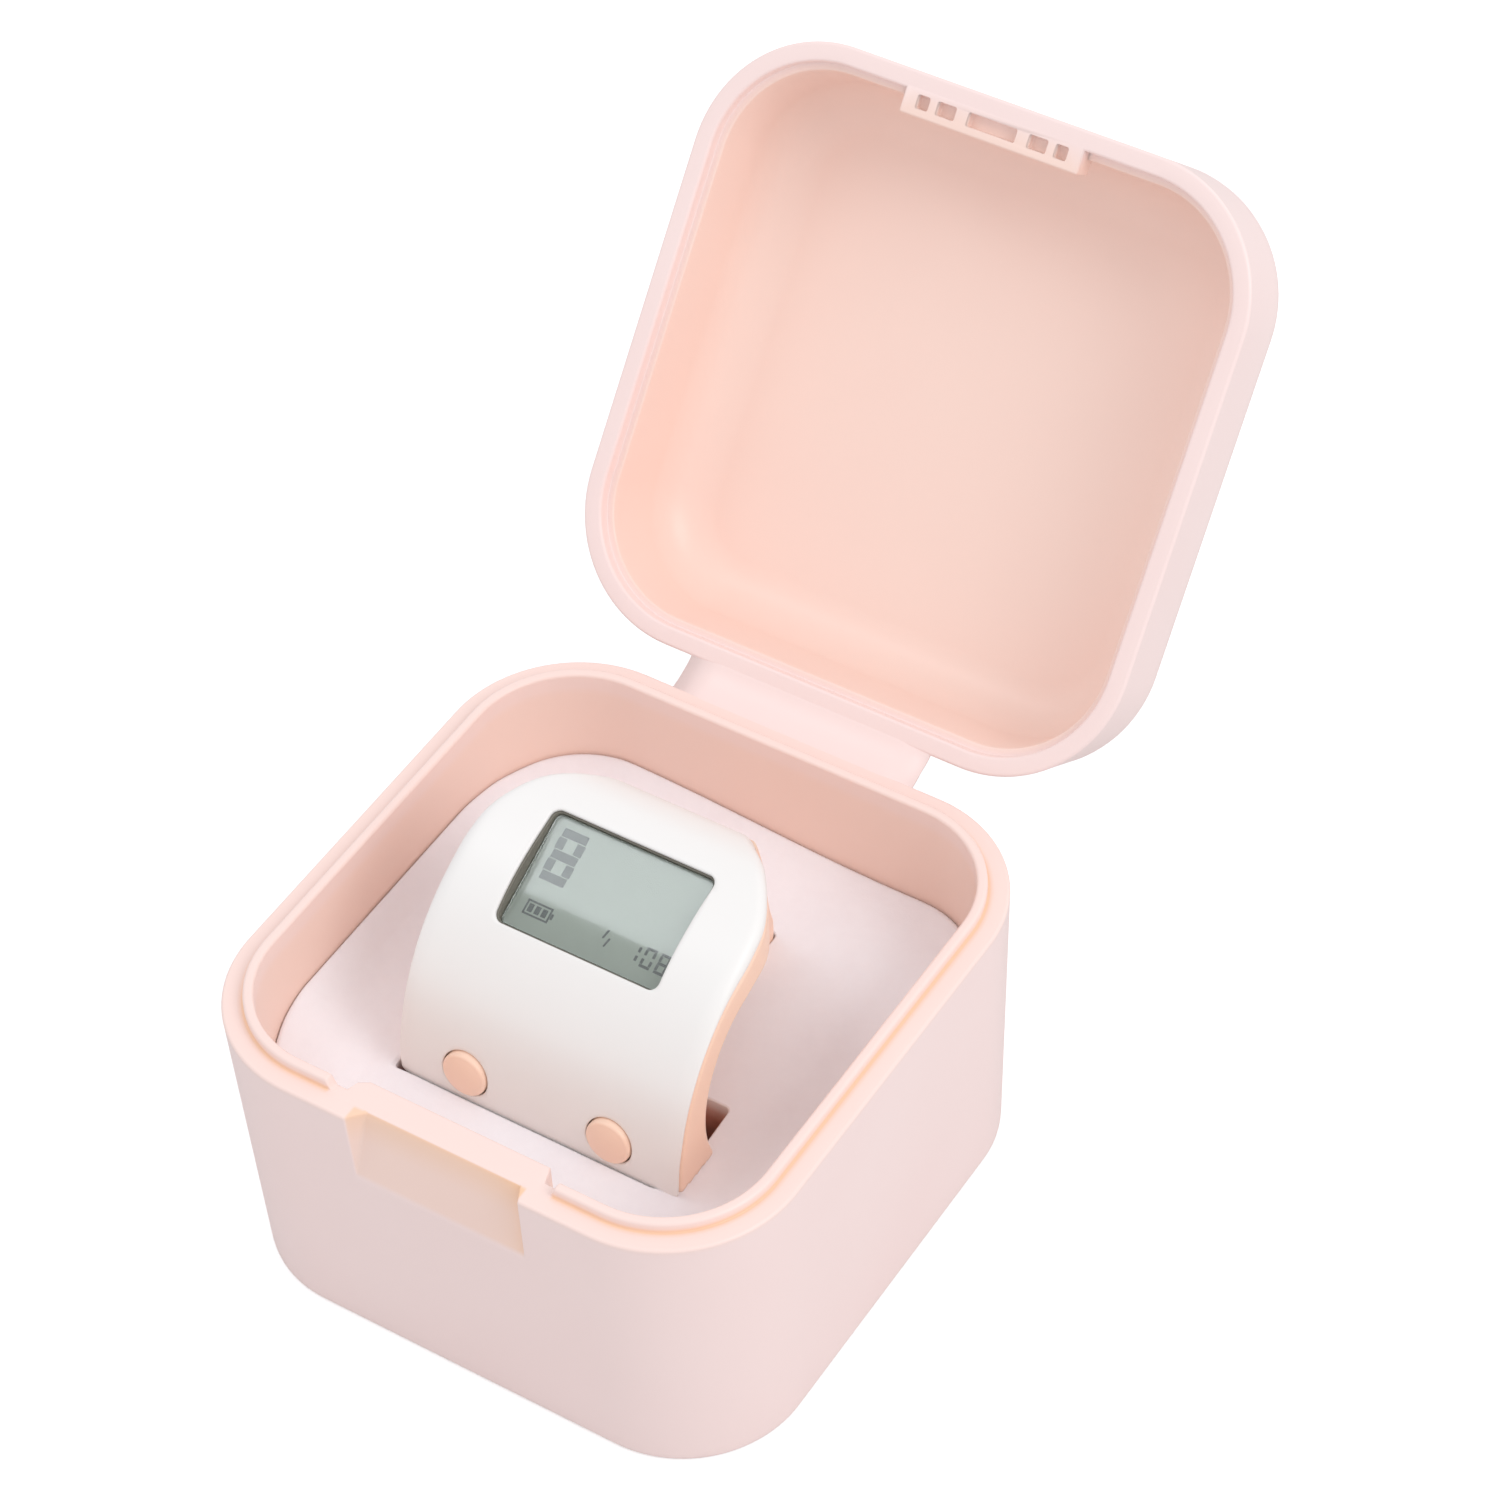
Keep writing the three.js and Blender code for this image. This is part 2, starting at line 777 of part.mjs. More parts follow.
// Film that leaves the panel's upper edge and folds down to the board
function displayRibbon() {
  const y = glassLength / 2 + stackGap + ribbonThickness / 2;
  const foot = boardTop + stackGap;
  const height = -glassTop - ribbonDrop - foot;
  const shape = block(ribbonWidth, ribbonThickness, height, 0, y, foot + height / 2);
  return named("display_ribbon", onFace(shape), amberFilm);
}

// Boards and what they carry

function mainBoard() {
  const holeWidth = screwShankDiameter + 2 * fitGap;
  const holes = screwPlaces().map(([x, shift]) => disc(holeWidth, 4 * boardThickness, 12)
    .translate(x, shift, boardTop));
  const outline = roundedOutline(boardWidth, boardLength, mainBoardCorner, 4);
  const shape = prism(outline, boardBottom, boardTop).subtract(joinAll(holes));
  return named("main_board", onFace(shape), greenBoard);
}

function controllerChip() {
  const middle = boardBottom - stackGap - chipThickness / 2;
  return named("controller_chip", onFace(block(chipSize, chipSize, chipThickness, 0, 0, middle), chipShift),
    blackResin);
}

function clockCrystal() {
  const middle = boardBottom - stackGap - crystalThickness / 2;
  const outline = roundedOutline(crystalLength, crystalWidth, 0.4, 3);
  const can = prism(outline, middle - crystalThickness / 2, middle + crystalThickness / 2);
  return named("clock_crystal", onFace(can.translate(chipSize + crystalLength, 0, 0), chipShift), bareMetal);
}

function battery() {
  const outline = roundedOutline(batteryWidth, batteryLength, batteryCorner, 3);
  const cell = prism(outline, batteryTop - batteryThickness, batteryTop);
  return named("battery", onFace(cell, batteryShift), pouchFoil);
}

function boardScrew(name, x, shift) {
  const head = disc(screwHeadDiameter, screwHeadThickness, 16)
    .translate(0, 0, boardTop + stackGap + screwHeadThickness / 2);
  const shank = disc(screwShankDiameter, screwShankLength, 12)
    .translate(0, 0, boardTop + stackGap + 0.05 - screwShankLength / 2);
  const slot = block(screwHeadDiameter * 0.7, 0.25, 0.4, 0, 0, boardTop + stackGap + screwHeadThickness);
  return named(name, onFace(head.add(shank).subtract(slot).translate(x, 0, 0), shift), bareMetal);
}

function buttonBoard() {
  const middle = buttonBoardBottom + boardThickness / 2;
  const outline = roundedOutline(buttonBoardWidth, buttonBoardLength, boardCorner, 3);
  const shape = prism(outline, middle - boardThickness / 2, middle + boardThickness / 2);
  return named("button_board", onLeg(shape, 0, buttonBoardShift), greenBoard);
}

// Thin flexible link that follows the bore from the button board up to the main board
function linkOutline(thickness, sweep = 0) {
  const radius = buttonBoardBottom + boardThickness + stackGap;
  const from = radians(linkStart + sweep);
  const to = radians(linkEnd - sweep);
  const steps = 6;
  const outer = [];
  const inner = [];
  for (let step = 0; step <= steps; step += 1) {
    const angle = from + (to - from) * (step / steps);
    const direction = new THREE.Vector2(Math.cos(angle), Math.sin(angle));
    outer.push(direction.clone().multiplyScalar(radius + thickness / 2));
    inner.push(direction.clone().multiplyScalar(radius - thickness / 2));
  }
  return [...inner, ...outer.reverse()];
}

function boardLink() {
  return named("board_link", prismX(linkOutline(linkThickness), -linkWidth / 2, linkWidth / 2), amberFilm);
}

function tactSwitch(name, side) {
  const body = block(switchSize, switchSize, switchBody, 0, 0, switchBottom + switchBody / 2);
  const plunger = disc(switchPlungerDiameter, 2 * switchPlunger, 16)
    .translate(0, 0, switchBottom + switchBody);
  return named(name, onLeg(body.add(plunger), (side * buttonSpacing) / 2, buttonShift), blackResin);
}

// Domed cap with a flange behind the cover and a short stem over its switch
function buttonCap(name, side) {
  const radius = buttonDiameter / 2;
  const rim = legLevel + buttonProud;
  const stemEnd = switchBottom + switchBody + switchPlunger + buttonTravel + stackGap;
  const profile = corners([
    [0, stemEnd],
    [buttonStemDiameter / 2, stemEnd],
    [buttonStemDiameter / 2, flangeBottom],
    [radius + buttonFlange, flangeBottom],
    [radius + buttonFlange, flangeTop],
    [radius, flangeTop],
    [radius, rim - 0.2],
    [radius * 0.9, rim],
    [radius * 0.5, rim + buttonCrown * 0.75],
    [0, rim + buttonCrown],
  ]);
  const geometry = new THREE.LatheGeometry(profile, 24);
  geometry.rotateX(Math.PI / 2);
  return named(name, onLeg(solid(geometry), (side * buttonSpacing) / 2, buttonShift), bandPlastic);
}

// Coin motor: a can that is open towards its board, and an off-centre weight on a shaft inside it
function motorCan() {
  const middle = switchBottom + motorThickness / 2;
  const inside = disc(motorDiameter - 2 * motorWall, motorThickness, 32)
    .translate(0, 0, middle - motorWall);
  const shaftLength = motorThickness - stackGap;
  const shaft = disc(motorShaftDiameter, shaftLength, 16)
    .translate(0, 0, switchBottom + motorThickness - shaftLength / 2);
  const can = disc(motorDiameter, motorThickness, 32).translate(0, 0, middle).subtract(inside);
  return named("vibration_motor_can", onLeg(can.add(shaft), 0, motorShift), bareMetal);
}

function arcPoints(radius, fromDegrees, toDegrees, steps) {
  const points = [];
  for (let step = 0; step <= steps; step += 1) {
    const angle = radians(fromDegrees + (toDegrees - fromDegrees) * (step / steps));
    points.push(new THREE.Vector2(radius * Math.cos(angle), radius * Math.sin(angle)));
  }
  return points;
}

// The weight hangs below its shaft.
function motorRotor() {
  const down = 270;
  const half = rotorSweep / 2;
  const outline = [
    ...arcPoints(rotorRadius, down - half, down + half, 14),
    ...arcPoints(rotorHubRadius, down + half, down + 360 - half, 12),
  ];
  const bottom = switchBottom + rotorEndGap;
  const top = switchBottom + motorThickness - motorWall - rotorEndGap;
  const hole = disc(motorShaftDiameter + 2 * rotorClearance, motorThickness, 16)
    .translate(0, 0, (bottom + top) / 2);
  const weight = prism(outline, bottom, top).subtract(hole);
  return named("vibration_motor_rotor", onLeg(weight, 0, motorShift), tungsten);
}

function chargePin(name, side) {
  const top = buttonBoardBottom - stackGap;
  const pin = disc(chargePinDiameter, top - boreRadius, 16).translate(0, 0, (top + boreRadius) / 2);
  return named(name, onLeg(pin, (side * chargePinSpacing) / 2), brass);
}

function counterRing() {
  const ring = new THREE.Group();
  ring.position.set(ringX, ringY, ringZ);
  ring.add(ringShell(), ringCover());
  ring.add(displayGasket(), displayLens(), displayPanel(), displayReflector(), displayRibbon());
  ring.add(mainBoard(), controllerChip(), clockCrystal(), battery());
  screwPlaces().forEach(([x, shift], i) => {
    ring.add(boardScrew(["board_screw_left", "board_screw_right"][i], x, shift));
  });
  ring.add(buttonBoard(), boardLink(), motorCan(), motorRotor());
  [["left", -1], ["right", 1]].forEach(([word, side]) => {
    ring.add(tactSwitch(`switch_${word}`, side));
    ring.add(buttonCap(`button_${word}`, side));
    ring.add(chargePin(`charge_pin_${word}`, side));
  });
  return ring;
}

// Flocked insert with a wide slot for the leg and a narrow one for the band

function flockedInsert() {
  const bottom = floorThickness + insertGap;
  const inset = wallThickness + insertGap;
  const slope = innerDraft * (insertHeight / baseHeight);
  const body = loft([
    { outline: caseOutline(inset + innerDraft), z: bottom },
    { outline: caseOutline(inset + innerDraft - slope), z: insertHeight },
  ]);
  const slotBottom = ringZ - boreRadius - bandThickness - slotGap;
  const slotHeight = baseHeight;
  const legFront = ringY - frontReach - slotGap;
  const slotMiddle = slotBottom + slotHeight / 2;
  const legSlot = block(legSlotLeft + legSlotRight, legSlotDepth, slotHeight,
    ringX + (legSlotRight - legSlotLeft) / 2, legFront + legSlotDepth / 2, slotMiddle);
  const bandRear = ringY + rearReach + slotGap;
  const bandSlot = block(bandWidth + 2 * slotGap, bandRear - legFront, slotHeight,
    ringX, (legFront + bandRear) / 2, slotMiddle);
  return named("flocked_insert", body.subtract(legSlot).subtract(bandSlot), flock);
}

const group = new THREE.Group();
group.add(caseBase(), caseLid(), hingeWeb(), flockedInsert(), counterRing());

export default group;
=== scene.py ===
import math

import bmesh
import bpy
import numpy as np
from mathutils import Matrix, Vector


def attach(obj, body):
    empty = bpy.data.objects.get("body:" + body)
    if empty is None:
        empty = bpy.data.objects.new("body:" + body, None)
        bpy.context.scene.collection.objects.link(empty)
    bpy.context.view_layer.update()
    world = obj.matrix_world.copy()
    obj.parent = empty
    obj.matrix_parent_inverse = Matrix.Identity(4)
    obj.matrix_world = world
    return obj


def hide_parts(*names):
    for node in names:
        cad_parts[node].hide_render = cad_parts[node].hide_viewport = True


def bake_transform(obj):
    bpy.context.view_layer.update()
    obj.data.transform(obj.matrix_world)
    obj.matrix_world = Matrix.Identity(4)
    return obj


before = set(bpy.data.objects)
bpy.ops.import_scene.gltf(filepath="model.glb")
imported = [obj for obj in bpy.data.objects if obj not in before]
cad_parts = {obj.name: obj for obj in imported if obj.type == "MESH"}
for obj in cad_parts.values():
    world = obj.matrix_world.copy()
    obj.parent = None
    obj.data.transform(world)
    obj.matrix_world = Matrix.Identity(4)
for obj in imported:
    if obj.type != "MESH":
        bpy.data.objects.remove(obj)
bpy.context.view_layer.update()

# Camera. It stands where the set was pictured from: high on the right, in front of the latch,
# a little under half a metre away, and tipped a few degrees. Distances here are millimetres.
MM = 0.001
aim = Vector((-2.010, 23.055, 28.383)) * MM
around, above, tip = 0.6060792, 0.8057912, -0.0602510
away = 405.29 * MM
back = Vector((math.sin(around) * math.cos(above), -math.cos(around) * math.cos(above), math.sin(above)))
level_right = (-back).cross(Vector((0, 0, 1))).normalized()
level_up = level_right.cross(-back)
right = math.cos(tip) * level_right + math.sin(tip) * level_up
up = -math.sin(tip) * level_right + math.cos(tip) * level_up
eye = aim + back * away
lens = bpy.data.cameras.new("studio_camera")
lens.sensor_width = 36
lens.lens = 117.09
lens.clip_start = 0.01
camera = bpy.data.objects.new("studio_camera", lens)
camera.matrix_world = Matrix((
    (right.x, up.x, back.x, eye.x),
    (right.y, up.y, back.y, eye.y),
    (right.z, up.z, back.z, eye.z),
    (0, 0, 0, 1),
))
bpy.context.scene.collection.objects.link(camera)
bpy.context.scene.camera = camera

# Case base. A deep square tub with well-rounded corners, injection moulded in pale pink plastic,
# with an outer ledge and a raised lip at the rim, a thumb notch in the front wall, and a
# thickened wall behind the notch, where the lip stops short.
case_wide, case_deep, case_corner = 52.0, 52.6, 11.6
base_high, base_draft, foot_round = 28.3, 0.88, 0.5
ledge, lip_thick, lip_high = 1.8, 0.9, 1.0
floor_thick, inner_draft, floor_round = 1.6, 0.3, 1.0
edge_round, lip_round, lip_foot = 0.28, 0.3, 0.14
latch_x, notch_half, notch_deep, notch_high = -0.5, 8.2, 1.4, 7.5
notch_x, splay_left, splay_right = -0.2, 1.1, 2.0
boss_half, boss_deep, lip_gap_half = 9.3, 1.5, 10.25
boss_foot, boss_full, lip_slope = 19.8, 24.55, 0.6
# Heights of the points up the outer and the inner wall, close together where the notch and the
# thickened wall begin.
outer_levels = (1.0, 4, 8, 12, 16, 19, 20.2, 20.55, 20.7, 20.76, 20.8, 20.84, 20.9, 21.05, 21.5, 22, 23,
                24, 25, 26, 27, 27.6, 27.9)
inner_levels = (27.85, 27.5, 27, 26, 25, 24.75, 24.5, 24.2, 23.5, 22, 20.5, 19.9, 19.6, 19, 16, 12, 8, 4, 3)


def soft_step(value, start, end):
    t = np.clip((value - start) / (end - start), 0, 1)
    return t * t * (3 - 2 * t)


def soft_min(a, b, blur):
    return 0.5 * (a + b - np.sqrt((a - b) ** 2 + blur * blur))


def soft_max(a, b, blur):
    return 0.5 * (a + b + np.sqrt((a - b) ** 2 + blur * blur))


def quarter(count, start=0.0, end=90.0):
    return [math.radians(start + (end - start) * i / count) for i in range(count + 1)]


def case_columns(front_stops=(), corner_steps=26, side_step=1.6):
    """Places round the rounded square: x, y and the outward direction, counter-clockwise from
    the right end of the front side."""
    half_x, half_y = case_wide / 2 - case_corner, case_deep / 2 - case_corner
    columns = []
    sides = [((1, 0), half_y), ((0, 1), half_x), ((-1, 0), half_y), ((0, -1), half_x)]
    centres = [(half_x, half_y), (-half_x, half_y), (-half_x, -half_y), (half_x, -half_y)]
    for side, ((nx, ny), half) in enumerate(sides):
        stops = np.linspace(-half, half, int(2 * half / side_step) + 2)
        if side == 3 and len(front_stops):
            stops = np.unique(np.round(np.concatenate([stops, front_stops]), 3))
        for s in stops:
            columns.append((nx * case_wide / 2 - ny * s, ny * case_deep / 2 + nx * s, nx, ny))
        turn = math.atan2(ny, nx)
        cx, cy = centres[side]
        for i in range(1, corner_steps):
            a = turn + math.pi / 2 * i / corner_steps
            dx, dy = math.cos(a), math.sin(a)
            columns.append((cx + case_corner * dx, cy + case_corner * dy, dx, dy))
    return columns


def swept(columns, profile):
    """Points and faces of a wall drawn round the columns. profile(column) gives its
    (inset, height) pairs, and the first and last rings are closed with flat caps."""
    points, rows = [], None
    for column in columns:
        pairs = profile(column)
        rows = len(pairs)
        x, y, nx, ny = column
        points += [(x - nx * inset, y - ny * inset, height) for inset, height in pairs]
    faces, count = [], len(columns)
    for c in range(count):
        following = (c + 1) % count
        for r in range(rows - 1):
            a, b = c * rows + r, following * rows + r
            faces.append((a, b, b + 1, a + 1))
    faces.append([c * rows for c in reversed(range(count))])
    faces.append([c * rows + rows - 1 for c in range(count)])
    return points, faces


def piece_of(name, points, faces, to_place=None):
    """A smooth-shaded mesh object from points in millimetres."""
    mesh = bpy.data.meshes.new(name)
    mesh.from_pydata([tuple(c * MM for c in p) for p in points], [], faces)
    if to_place is not None:
        mesh.transform(to_place)
    shell = bmesh.new()
    shell.from_mesh(mesh)
    bmesh.ops.recalc_face_normals(shell, faces=shell.faces)
    shell.to_mesh(mesh)
    shell.free()
    mesh.polygons.foreach_set("use_smooth", [True] * len(mesh.polygons))
    piece = bpy.data.objects.new(name, mesh)
    bpy.context.scene.collection.objects.link(piece)
    return piece


def baked(piece):
    """Applies the piece's modifiers to its mesh."""
    bpy.context.view_layer.update()
    result = bpy.data.meshes.new_from_object(
        piece.evaluated_get(bpy.context.evaluated_depsgraph_get()))
    piece.modifiers.clear()
    piece.data = result
    return piece


def cut(piece, tool, how="DIFFERENCE"):
    """Cuts or joins the tool into the piece and removes the tool."""
    step = piece.modifiers.new("cut", "BOOLEAN")
    step.operation, step.solver, step.object = how, "EXACT", tool
    baked(piece)
    bpy.data.objects.remove(tool)
    piece.data.polygons.foreach_set("use_smooth", [True] * len(piece.data.polygons))
    return piece


def flat_faces(piece, least):
    """Faces larger than this many square millimetres are kept flat, so that they mirror straight."""
    for polygon in piece.data.polygons:
        if polygon.area > least * MM * MM:
            polygon.use_smooth = False


def even_shading(piece):
    """Large flat faces keep their own shading beside the small rounded edges."""
    step = piece.modifiers.new("even_shading", "WEIGHTED_NORMAL")
    step.weight = 80
    step.keep_sharp = True
    return piece


def front_wall_inset(x, z):
    """How far the outside of the front wall leans in from the rim's outline: its draft, and at
    the thumb notch a slope that sinks into the wall towards the rim."""
    draft = base_draft * (1 - z / base_high)
    if abs(x - notch_x) > notch_half + 0.6:
        return draft
    foot = base_high - notch_high
    foot_inset = base_draft * notch_high / base_high
    slope = foot_inset + (notch_deep - foot_inset) * (z - foot) / notch_high
    side = (splay_left if x < notch_x else splay_right) * (notch_half - abs(x - notch_x))
    return soft_max(draft, soft_min(slope, side, 0.06), 0.05)


def base_profile(column):
    """The tub's section at one place: up the outside, over the ledge and lip, down the inside."""
    x, y, nx, ny = column
    front = ny < -0.999
    from_latch = abs(x - latch_x)
    boss = soft_step(boss_half - from_latch, -0.1, 0.55) if front else 0.0
    lip = soft_step(from_latch, lip_gap_half, lip_gap_half + lip_slope) if front else 1.0
    rim = front_wall_inset(x, base_high) if front else 0.0
    lip_top = base_high + lip_high * lip
    pairs = []
    for a in quarter(4):
        pairs.append((base_draft + foot_round * (1 - math.sin(a)), foot_round * (1 - math.cos(a))))
    for z in outer_levels:
        inset = front_wall_inset(x, z) if front else base_draft * (1 - z / base_high)
        pairs.append((inset, z))
    for a in quarter(5):
        pairs.append((rim + edge_round * (1 - math.cos(a)), base_high - edge_round * (1 - math.sin(a))))
    pairs.append((max(rim + edge_round + 0.005, ledge - lip_foot - 0.4), base_high))
    pairs.append((max(rim + edge_round + 0.01, ledge - lip_foot - 0.1), base_high))
    for k, a in enumerate(quarter(3)):
        pairs.append((max(ledge - lip_foot * (1 - math.sin(a)), rim + edge_round + 0.015 + 0.005 * k),
                      base_high + lip * lip_foot * (1 - math.cos(a))))
    pairs.append((ledge, base_high + lip * 0.45))
    for a in quarter(5):
        pairs.append((ledge + lip_round * (1 - math.cos(a)),
                      base_high + lip * (lip_high - lip_round * (1 - math.sin(a)))))
    inner = ledge + lip_thick + boss_deep * boss
    for a in quarter(5):
        pairs.append((inner - lip_round * (1 - math.sin(a)), lip_top - lip_round * (1 - math.cos(a))))
    for z in inner_levels:
        slope = np.clip((z - boss_foot) / (boss_full - boss_foot), 0, 1)
        pairs.append((ledge + lip_thick + inner_draft * (1 - z / base_high) + boss_deep * boss * slope, z))
    foot_in = ledge + lip_thick + inner_draft
    for a in quarter(5):
        pairs.append((foot_in + floor_round * (1 - math.cos(a)),
                      floor_thick + floor_round * (1 - math.sin(a))))
    return pairs


# Columns stand close together where the thickened wall, the lip's gap and the notch end.
boss_stops, lip_stops = boss_half + np.arange(-0.3, 0.4, 0.12), lip_gap_half + np.arange(-0.25, 0.75, 0.09)
notch_stops = notch_half + np.arange(-1.4, 0.3, 0.06)
front_stops = [latch_x + side * s for side in (-1, 1) for s in np.concatenate([boss_stops, lip_stops])]
front_stops += [notch_x + side * s for side in (-1, 1) for s in notch_stops]
points, faces = swept(case_columns(front_stops), base_profile)
case_base = piece_of("tub", points, faces)
even_shading(case_base)


def new_group(name, inputs, outputs):
    """A shader node group with its inputs (name, kind, value) and outputs (name, kind)."""
    group = bpy.data.node_groups.new(name, "ShaderNodeTree")
    for label, kind, value in inputs:
        socket = group.interface.new_socket(label, in_out="INPUT", socket_type=kind)
        socket.default_value = value
    for label, kind in outputs:
        group.interface.new_socket(label, in_out="OUTPUT", socket_type=kind)
    return group, group.nodes.new("NodeGroupInput"), group.nodes.new("NodeGroupOutput")


def add(tree, kind, **settings):
    """A node with its settings. A number or colour for an input is given by the input's name."""
    node = tree.nodes.new(kind)
    for key, value in settings.items():
        if hasattr(node, key):
            setattr(node, key, value)
        else:
            node.inputs[key.replace("_", " ")].default_value = value
    return node


# The grain of a moulded skin: soft mottling of the colour and a fine uneven height.
moulded_skin, skin_in, skin_out = new_group(
    "moulded_skin",
    [("Colour", "NodeSocketColor", (0.8, 0.8, 0.8, 1)), ("Deeper", "NodeSocketColor", (0.7, 0.7, 0.7, 1)),
     ("Grain", "NodeSocketFloat", 2500.0), ("Base roughness", "NodeSocketFloat", 0.35)],
    [("Colour", "NodeSocketColor"), ("Roughness", "NodeSocketFloat"), ("Height", "NodeSocketFloat")],
)
place = add(moulded_skin, "ShaderNodeNewGeometry")
cloud = add(moulded_skin, "ShaderNodeTexNoise", Scale=70.0, Detail=1.5, Roughness=0.5)
fine = add(moulded_skin, "ShaderNodeTexNoise", Detail=2.0, Roughness=0.5)
tone = add(moulded_skin, "ShaderNodeMix", data_type="RGBA")
clouded = add(moulded_skin, "ShaderNodeMapRange", From_Min=0.1, From_Max=0.9)
sheen_range = add(moulded_skin, "ShaderNodeMapRange", From_Min=0.1, From_Max=0.9, To_Min=-0.05, To_Max=0.05)
sheen = add(moulded_skin, "ShaderNodeMath", operation="ADD")
links = moulded_skin.links
links.new(place.outputs["Position"], cloud.inputs["Vector"])
links.new(place.outputs["Position"], fine.inputs["Vector"])
links.new(skin_in.outputs["Grain"], fine.inputs["Scale"])
links.new(cloud.outputs["Fac"], clouded.inputs["Value"])
links.new(clouded.outputs["Result"], tone.inputs["Factor"])
links.new(skin_in.outputs["Colour"], tone.inputs["A"])
links.new(skin_in.outputs["Deeper"], tone.inputs["B"])
links.new(cloud.outputs["Fac"], sheen_range.inputs["Value"])
links.new(sheen_range.outputs["Result"], sheen.inputs[0])
links.new(skin_in.outputs["Base roughness"], sheen.inputs[1])
links.new(tone.outputs["Result"], skin_out.inputs["Colour"])
links.new(sheen.outputs["Value"], skin_out.inputs["Roughness"])
links.new(fine.outputs["Fac"], skin_out.inputs["Height"])


def srgb(red, green, blue):
    """A colour written as on a screen, 0 to 255, turned into the shader's own scale."""
    return tuple(((c / 255) / 12.92 if c <= 10 else ((c / 255 + 0.055) / 1.055) ** 2.4)
                 for c in (red, green, blue)) + (1.0,)


def blank_material(name):
    """A material with its Principled shader at hand."""
    material = bpy.data.materials.new(name)
    material.use_nodes = True
    tree = material.node_tree
    return material, tree, tree.nodes["Principled BSDF"]


def moulded_plastic(name, colour, deeper, roughness, grain=2500.0, depth=0.004, inside=None):
    """Moulded plastic. The warmer colour, when given, is painted bounce light and shade, multiplied into
    the colour as far as each point's painted mask says.
    """
    material, tree, shader = blank_material(name)
    skin = add(tree, "ShaderNodeGroup", node_tree=moulded_skin)
    skin.inputs["Colour"].default_value = srgb(*colour)
    skin.inputs["Deeper"].default_value = srgb(*deeper)
    skin.inputs["Grain"].default_value = grain
    skin.inputs["Base roughness"].default_value = roughness
    bump = add(tree, "ShaderNodeBump", Strength=0.35, Distance=depth * MM)
    tree.links.new(skin.outputs["Height"], bump.inputs["Height"])
    tree.links.new(bump.outputs["Normal"], shader.inputs["Normal"])
    tree.links.new(skin.outputs["Roughness"], shader.inputs["Roughness"])
    colour_end = skin.outputs["Colour"]
    if inside is not None:
        # Painted bounce light and shade: the warmer colour is multiplied in as far as the point's stored
        # mask says.
        mark = add(tree, "ShaderNodeAttribute", attribute_name="painted_bounce_shade")
        mix = add(tree, "ShaderNodeMix", data_type="RGBA", blend_type="MULTIPLY")
        mix.inputs["B"].default_value = srgb(*inside)
        tree.links.new(mark.outputs["Fac"], mix.inputs["Factor"])
        tree.links.new(colour_end, mix.inputs["A"])
        colour_end = mix.outputs["Result"]
    tree.links.new(colour_end, shader.inputs["Base Color"])
    shader.inputs["IOR"].default_value = 1.46
    return material


def mark_painted_light(piece, rule):
    """Stores on each point how much painted bounce light and shade it gets, from 0 to 1, by rule(x, y, z)
    in mm.
    """
    mesh = piece.data
    where = np.array([v.co for v in mesh.vertices], float).reshape(-1, 3) / MM
    layer = mesh.attributes.new("painted_bounce_shade", "FLOAT", "POINT")
    layer.data.foreach_set("value", rule(where[:, 0], where[:, 1], where[:, 2]).astype(np.float32))


def square_inset(x, y):
    """How far a place lies inside the outline of the case."""
    qx = np.abs(x) - (case_wide / 2 - case_corner)
    qy = np.abs(y) - (case_deep / 2 - case_corner)
    outside = np.hypot(np.maximum(qx, 0), np.maximum(qy, 0)) + np.minimum(np.maximum(qx, qy), 0)
    return case_corner - outside


# The warmer inside colour of the pink plastic is painted bounce light and shade on the tub's and lid's
# inner walls and the notch.
case_pink = moulded_plastic("pale_pink_plastic", (251, 229, 225), (249, 225, 221), 0.36,
                            inside=(255, 231, 195))


def base_painted_light(x, y, z):
    """Painted bounce light and shade: warmer where light is thrown back and forth, on the inner walls and
    the rim, a painted shadow line at the lip's foot, and painted shade in the notch, deepest at its top and
    right end.
    """
    inset = square_inset(x, y)
    walls = 0.35 * soft_step(inset, 2.2, 2.8) * soft_step(base_high + lip_high - z, 0.3, 2.5)
    rim = 0.15 * soft_step(z, 27.7, 28.2)
    no_lip = soft_step(lip_gap_half + 0.45 - np.abs(x - latch_x), 0, 0.3) * (y < 0)
    foot = np.exp(-((inset - ledge + 0.06) / 0.17) ** 2) * soft_step(base_high + 0.5 - z, 0, 0.3)
    foot = foot * (z > 27) * (1 - no_lip)
    within = soft_step(notch_half + 0.05 - np.abs(x - notch_x), 0, 0.3) * (y < 0)
    within = within * (z > base_high - notch_high + 0.05) * (inset < 1.5)
    sunk = soft_step(inset - base_draft * (1 - z / base_high), 0.03, 0.12)
    from_right = np.maximum(notch_x + notch_half - x, 0)
    notch = within * sunk * (0.3 + 0.35 * soft_step(z, 24.5, 28.1) + 0.4 * np.exp(-from_right / 1.5))
    return np.clip(np.maximum(walls, rim) + 0.8 * foot + notch, 0, 1)


mark_painted_light(case_base, base_painted_light)
case_base.data.materials.append(case_pink)
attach(case_base, "case")
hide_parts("case_base")

# Case lid. A shallow dome moulded with the base in the same plastic, drawn closed and then laid
# open about the hinge. Its rim has a groove for the lip, and a cored pull block stands at its
# front, over the thumb notch.
lid_rim, lid_high, lid_edge, lid_draft = 28.45, 12.65, 6.1, 0.45
lid_thick, step_in, groove_in, groove_top = 1.6, 2.3, 1.65, 29.6
lid_outer_levels, lid_inner_levels = (33.5, 32, 30.5, 29.3, 28.95), (30.4, 31.5, 33, 34.2)
open_turn = -math.radians(128.9)
hinge_line = Vector((0, 27.93, 28.22)) * MM
lid_open = (Matrix.Translation(hinge_line) @ Matrix.Rotation(open_turn, 4, "X")
            @ Matrix.Translation(-hinge_line))


